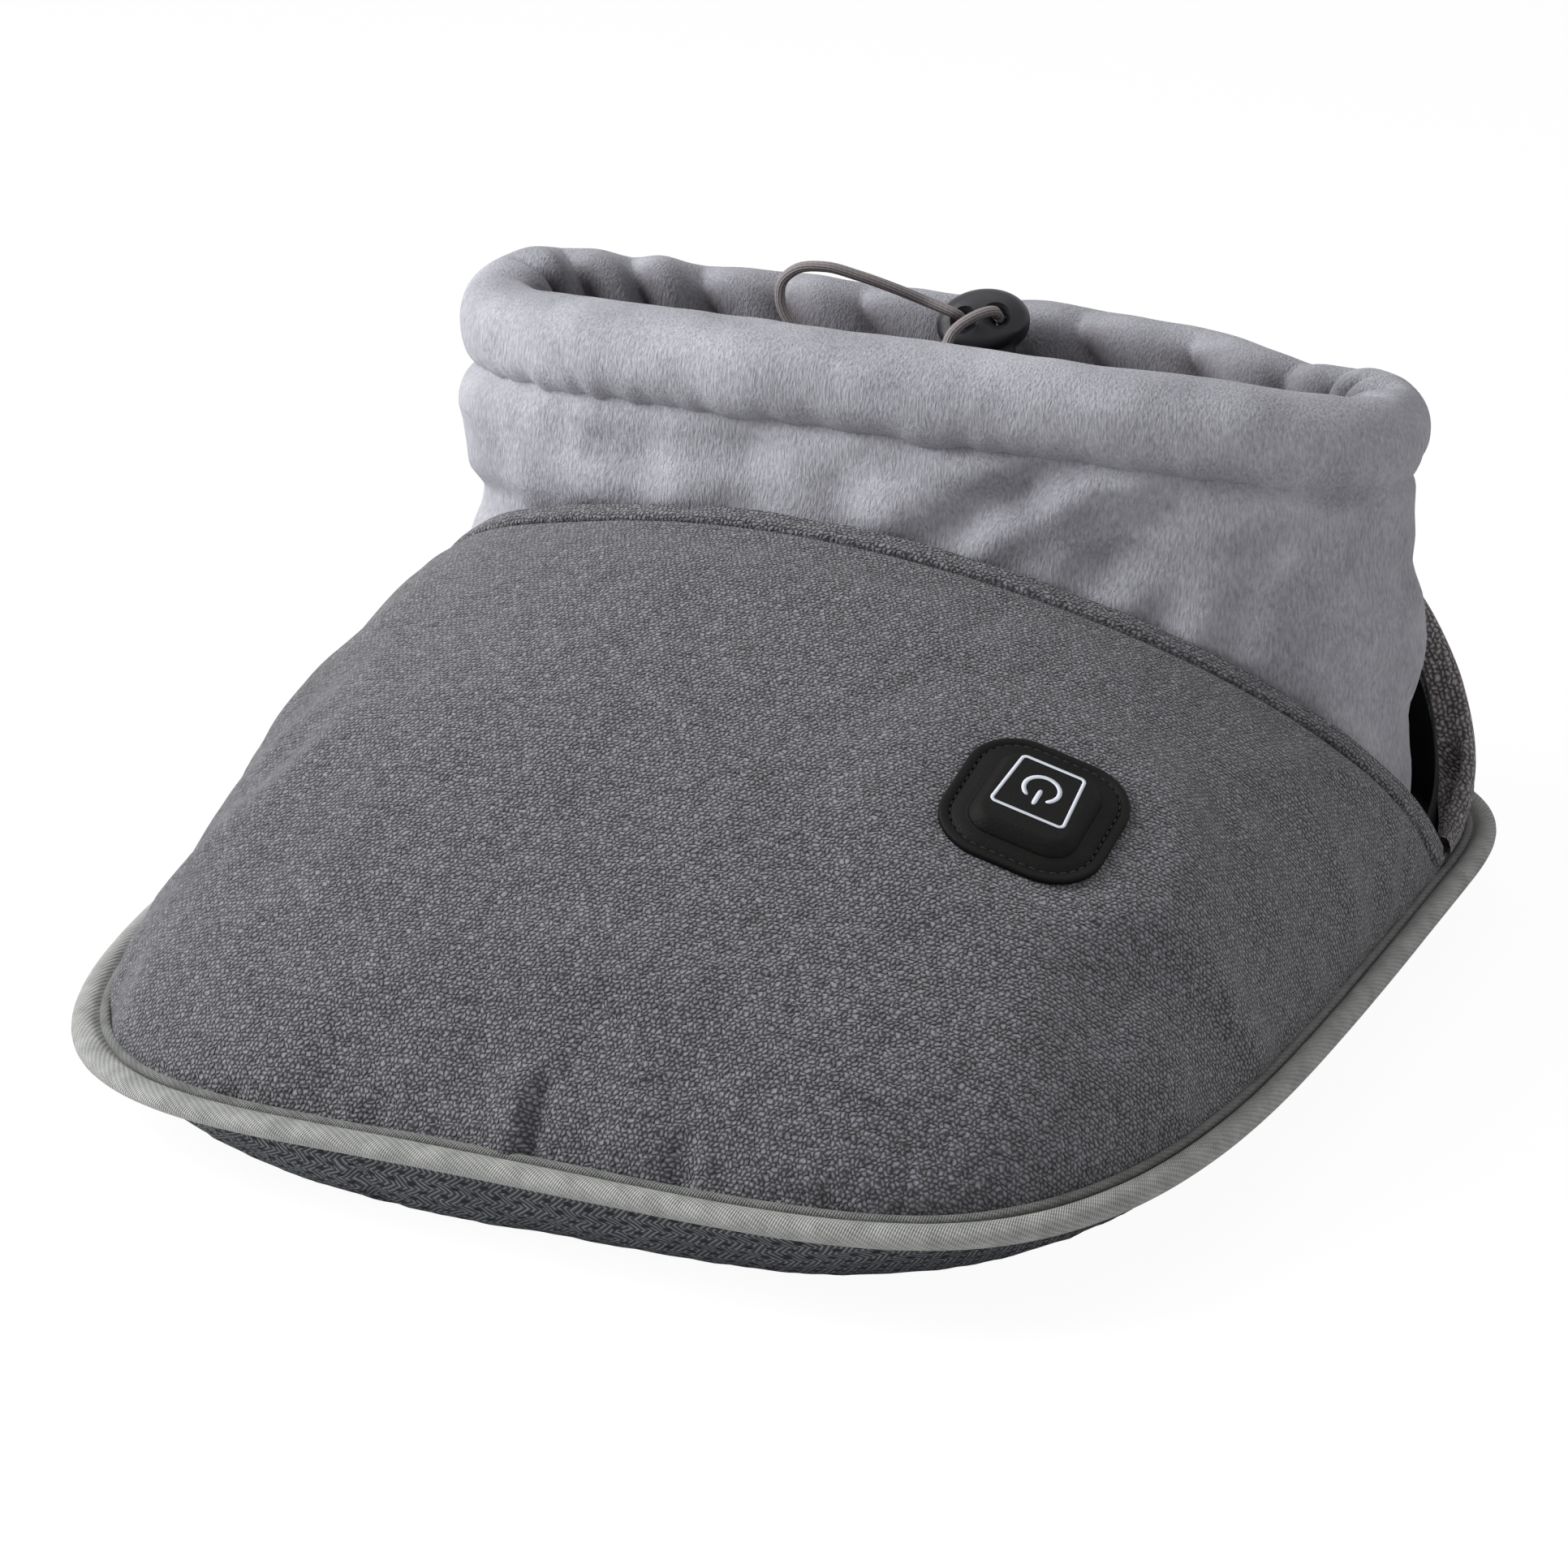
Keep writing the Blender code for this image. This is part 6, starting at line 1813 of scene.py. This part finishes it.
LOOP_ROUTE = tuple(
    Vector(point)
    for point in (
        (-0.0071, 0.1042, 0.1603), (-0.0140, 0.0999, 0.1640), (-0.0225, 0.0954, 0.1677),
        (-0.0314, 0.0915, 0.1703), (-0.0385, 0.0894, 0.1694), (-0.0425, 0.0886, 0.1656),
        (-0.0431, 0.0884, 0.1602), (-0.0406, 0.0887, 0.1544), (-0.0342, 0.0896, 0.1494),
        (-0.0236, 0.0906, 0.1447), (-0.0118, 0.0912, 0.1421), (-0.0019, 0.0921, 0.1436),
        (0.0027, 0.0937, 0.1483), (0.0043, 0.0965, 0.1541),
    )
)


@dataclass(frozen=True)
class SupplyInlet:
    """Round socket for the supply plug, low in the middle of the heel counter."""

    counter: HeelCounter
    up: float = 0.30
    radius: float = 0.0055
    length: float = 0.016
    flange_radius: float = 0.009
    flange: float = 0.0018
    socket_radius: float = 0.0032
    socket_depth: float = 0.0095

    @cached_property
    def frame(self) -> Matrix:
        """The inlet's frame, with Z out of the counter."""
        out = normal_of(self.counter.surface, 0.5, self.up)
        across = Vector((1, 0, 0))
        return axes_at(self.counter.surface(0.5, self.up), across, out.cross(across), out)

    def build(self) -> None:
        """Builds the housing and finishes its pin."""
        face = self.flange + GAP
        outline = [
            (0.0, face - self.socket_depth),
            (self.socket_radius, face - self.socket_depth),
            (self.socket_radius, face - 0.0004),
            (self.socket_radius + 0.0004, face),
            (self.flange_radius - 0.0006, face),
            (self.flange_radius, face - 0.0006),
            (self.flange_radius, GAP),
            (self.radius, GAP),
            (self.radius, face - self.length),
            (0.0, face - self.length),
        ]
        piece = dress("inlet_socket", put(turned(outline, 56), self.frame), BLACK, "inlet_housing")
        piece.data.set_sharp_from_angle(angle=math.radians(35))
        repaint(PLATED, "inlet_contact_pin")


# Studio

WHITE_LIGHT = "#FFFFFF"


@dataclass(frozen=True)
class Lamp:
    """Soft rectangular lamp that looks at the middle of the foot warmer."""

    name: str
    place: tuple[float, float, float]
    size: float
    power: float
    target: tuple[float, float, float] = (0, 0, 0.08)

    def build(self) -> None:
        """Hangs the lamp."""
        data = bpy.data.lights.new(self.name, "AREA")
        data.shape = "SQUARE"
        data.size = self.size
        data.energy = self.power
        data.color = linear(WHITE_LIGHT)[:3]
        lamp = add_object(self.name, data)
        lamp.location = self.place
        lamp.rotation_euler = (Vector(self.target) - Vector(self.place)).to_track_quat("-Z", "Y").to_euler()


@dataclass(frozen=True)
class Studio:
    """White studio: the photograph's camera, soft lamps and a pale floor."""

    azimuth: float = math.radians(24.2)
    elevation: float = math.radians(22.2)
    distance: float = 1.303
    lens: float = 6000 / 1932 * 36
    sensor: float = 36
    target_right: float = -0.002
    target_up: float = 0.053
    world_light: float = 0.24
    floor_radius: float = 3
    floor_glow: float = 1.03
    floor_glow_share: float = 0.92
    lamps: tuple[Lamp, ...] = (
        Lamp("key_lamp", (-0.88, -0.42, 0.76), 0.7, 16.6),
        Lamp("top_lamp", (-0.30, 0.05, 1.5), 1.2, 6.0),
        Lamp("front_lamp", (0.5, -1.6, 0.7), 1.2, 1.2),
        Lamp("side_lamp", (1.5, -0.6, 0.45), 1.0, 3.4),
        Lamp("rim_lamp", (0.7, 1.3, 1.1), 1.0, 1.4),
    )

    def build_camera(self) -> None:
        """Places the camera."""
        level = math.cos(self.elevation)
        ahead = Vector((-math.sin(self.azimuth) * level, math.cos(self.azimuth) * level, -math.sin(self.elevation)))
        right = Vector((math.cos(self.azimuth), math.sin(self.azimuth), 0))
        above = right.cross(ahead)
        data = bpy.data.cameras.new("photo_camera")
        data.sensor_width = self.sensor
        data.lens = self.lens
        data.clip_start = 0.01
        camera = add_object("photo_camera", data)
        target = right * self.target_right + above * self.target_up
        camera.matrix_world = axes_at(target - ahead * self.distance, right, above, -ahead)
        bpy.context.scene.camera = camera

    def build_world(self) -> None:
        """White to the camera and in reflections, a soft grey light to the rest."""
        world = bpy.data.worlds.new("studio_white")
        world.use_nodes = True
        tree = world.node_tree
        tree.nodes.clear()
        rays = add_node(tree, "LightPath").outputs
        seen = calc(tree, "MAXIMUM", rays["Is Camera Ray"], rays["Is Glossy Ray"])
        seen = calc(tree, "MAXIMUM", seen, rays["Is Transmission Ray"])
        strength = add_node(tree, "MapRange", {0: seen, 3: self.world_light, 4: 1.0})
        glow = add_node(tree, "Background", {"Color": linear(WHITE_LIGHT), "Strength": strength.outputs[0]})
        add_node(tree, "OutputWorld", {0: glow.outputs[0]})
        bpy.context.scene.world = world

    def build_floor(self) -> None:
        """Pale floor that keeps a faint shadow and is white to the camera elsewhere."""
        shape = bmesh.new()
        bmesh.ops.create_circle(shape, cap_ends=True, segments=64, radius=self.floor_radius)
        mesh = bpy.data.meshes.new("studio_floor")
        shape.to_mesh(mesh)
        shape.free()
        floor = add_object("studio_floor", mesh)
        paper = bpy.data.materials.new("white_paper")
        paper.use_nodes = True
        tree = paper.node_tree
        tree.nodes.clear()
        matt = add_node(tree, "BsdfDiffuse", {"Color": linear("#F4F4F4")})
        glow = add_node(tree, "Emission", {"Color": linear(WHITE_LIGHT), "Strength": self.floor_glow})
        seen = calc(tree, "MULTIPLY", add_node(tree, "LightPath").outputs["Is Camera Ray"], self.floor_glow_share)
        mixed = add_node(tree, "MixShader", {0: seen, 1: matt.outputs[0], 2: glow.outputs[0]})
        add_node(tree, "OutputMaterial", {0: mixed.outputs[0]})
        mesh.materials.append(paper)

    def build(self) -> None:
        """Sets the studio up."""
        self.build_camera()
        self.build_world()
        self.build_floor()
        for lamp in self.lamps:
            lamp.build()
        bpy.context.scene.view_settings.view_transform = "Standard"


def finish_inner_parts() -> None:
    """Finishes the CAD nodes that stay inside."""
    repaint(FOAM, "sole_foam")
    repaint(FELT, "heater_mat")
    repaint(SILICONE, "heating_wire", "return_wire")
    repaint(WHITE, "thermostat", "switch_stem")
    repaint(PLATED, "thermal_fuse")
    repaint(WADDING, "vamp_wadding", "heel_padding")
    repaint(BLACK, "switch_housing", "tact_switch")
    repaint(BOARD, "control_board")
    repaint(LENS, "indicator_led")
    repaint(VINYL, "supply_lead", "heater_lead")


def main() -> None:
    """Builds the foot warmer, one sub-assembly after another."""
    logging.basicConfig(level=logging.INFO, format="%(message)s")
    Studio().build()
    collar = Collar()
    lock = CordLock()
    lock.build_cords(collar)
    lock.build()
    vamp = Vamp()
    counter = HeelCounter()
    vamp.build()
    counter.build()
    collar.build()
    Sole().build()
    PowerPatch(vamp.patch_frame).build()
    SupplyInlet(counter).build()
    finish_inner_parts()


if __name__ == "__main__":
    main()
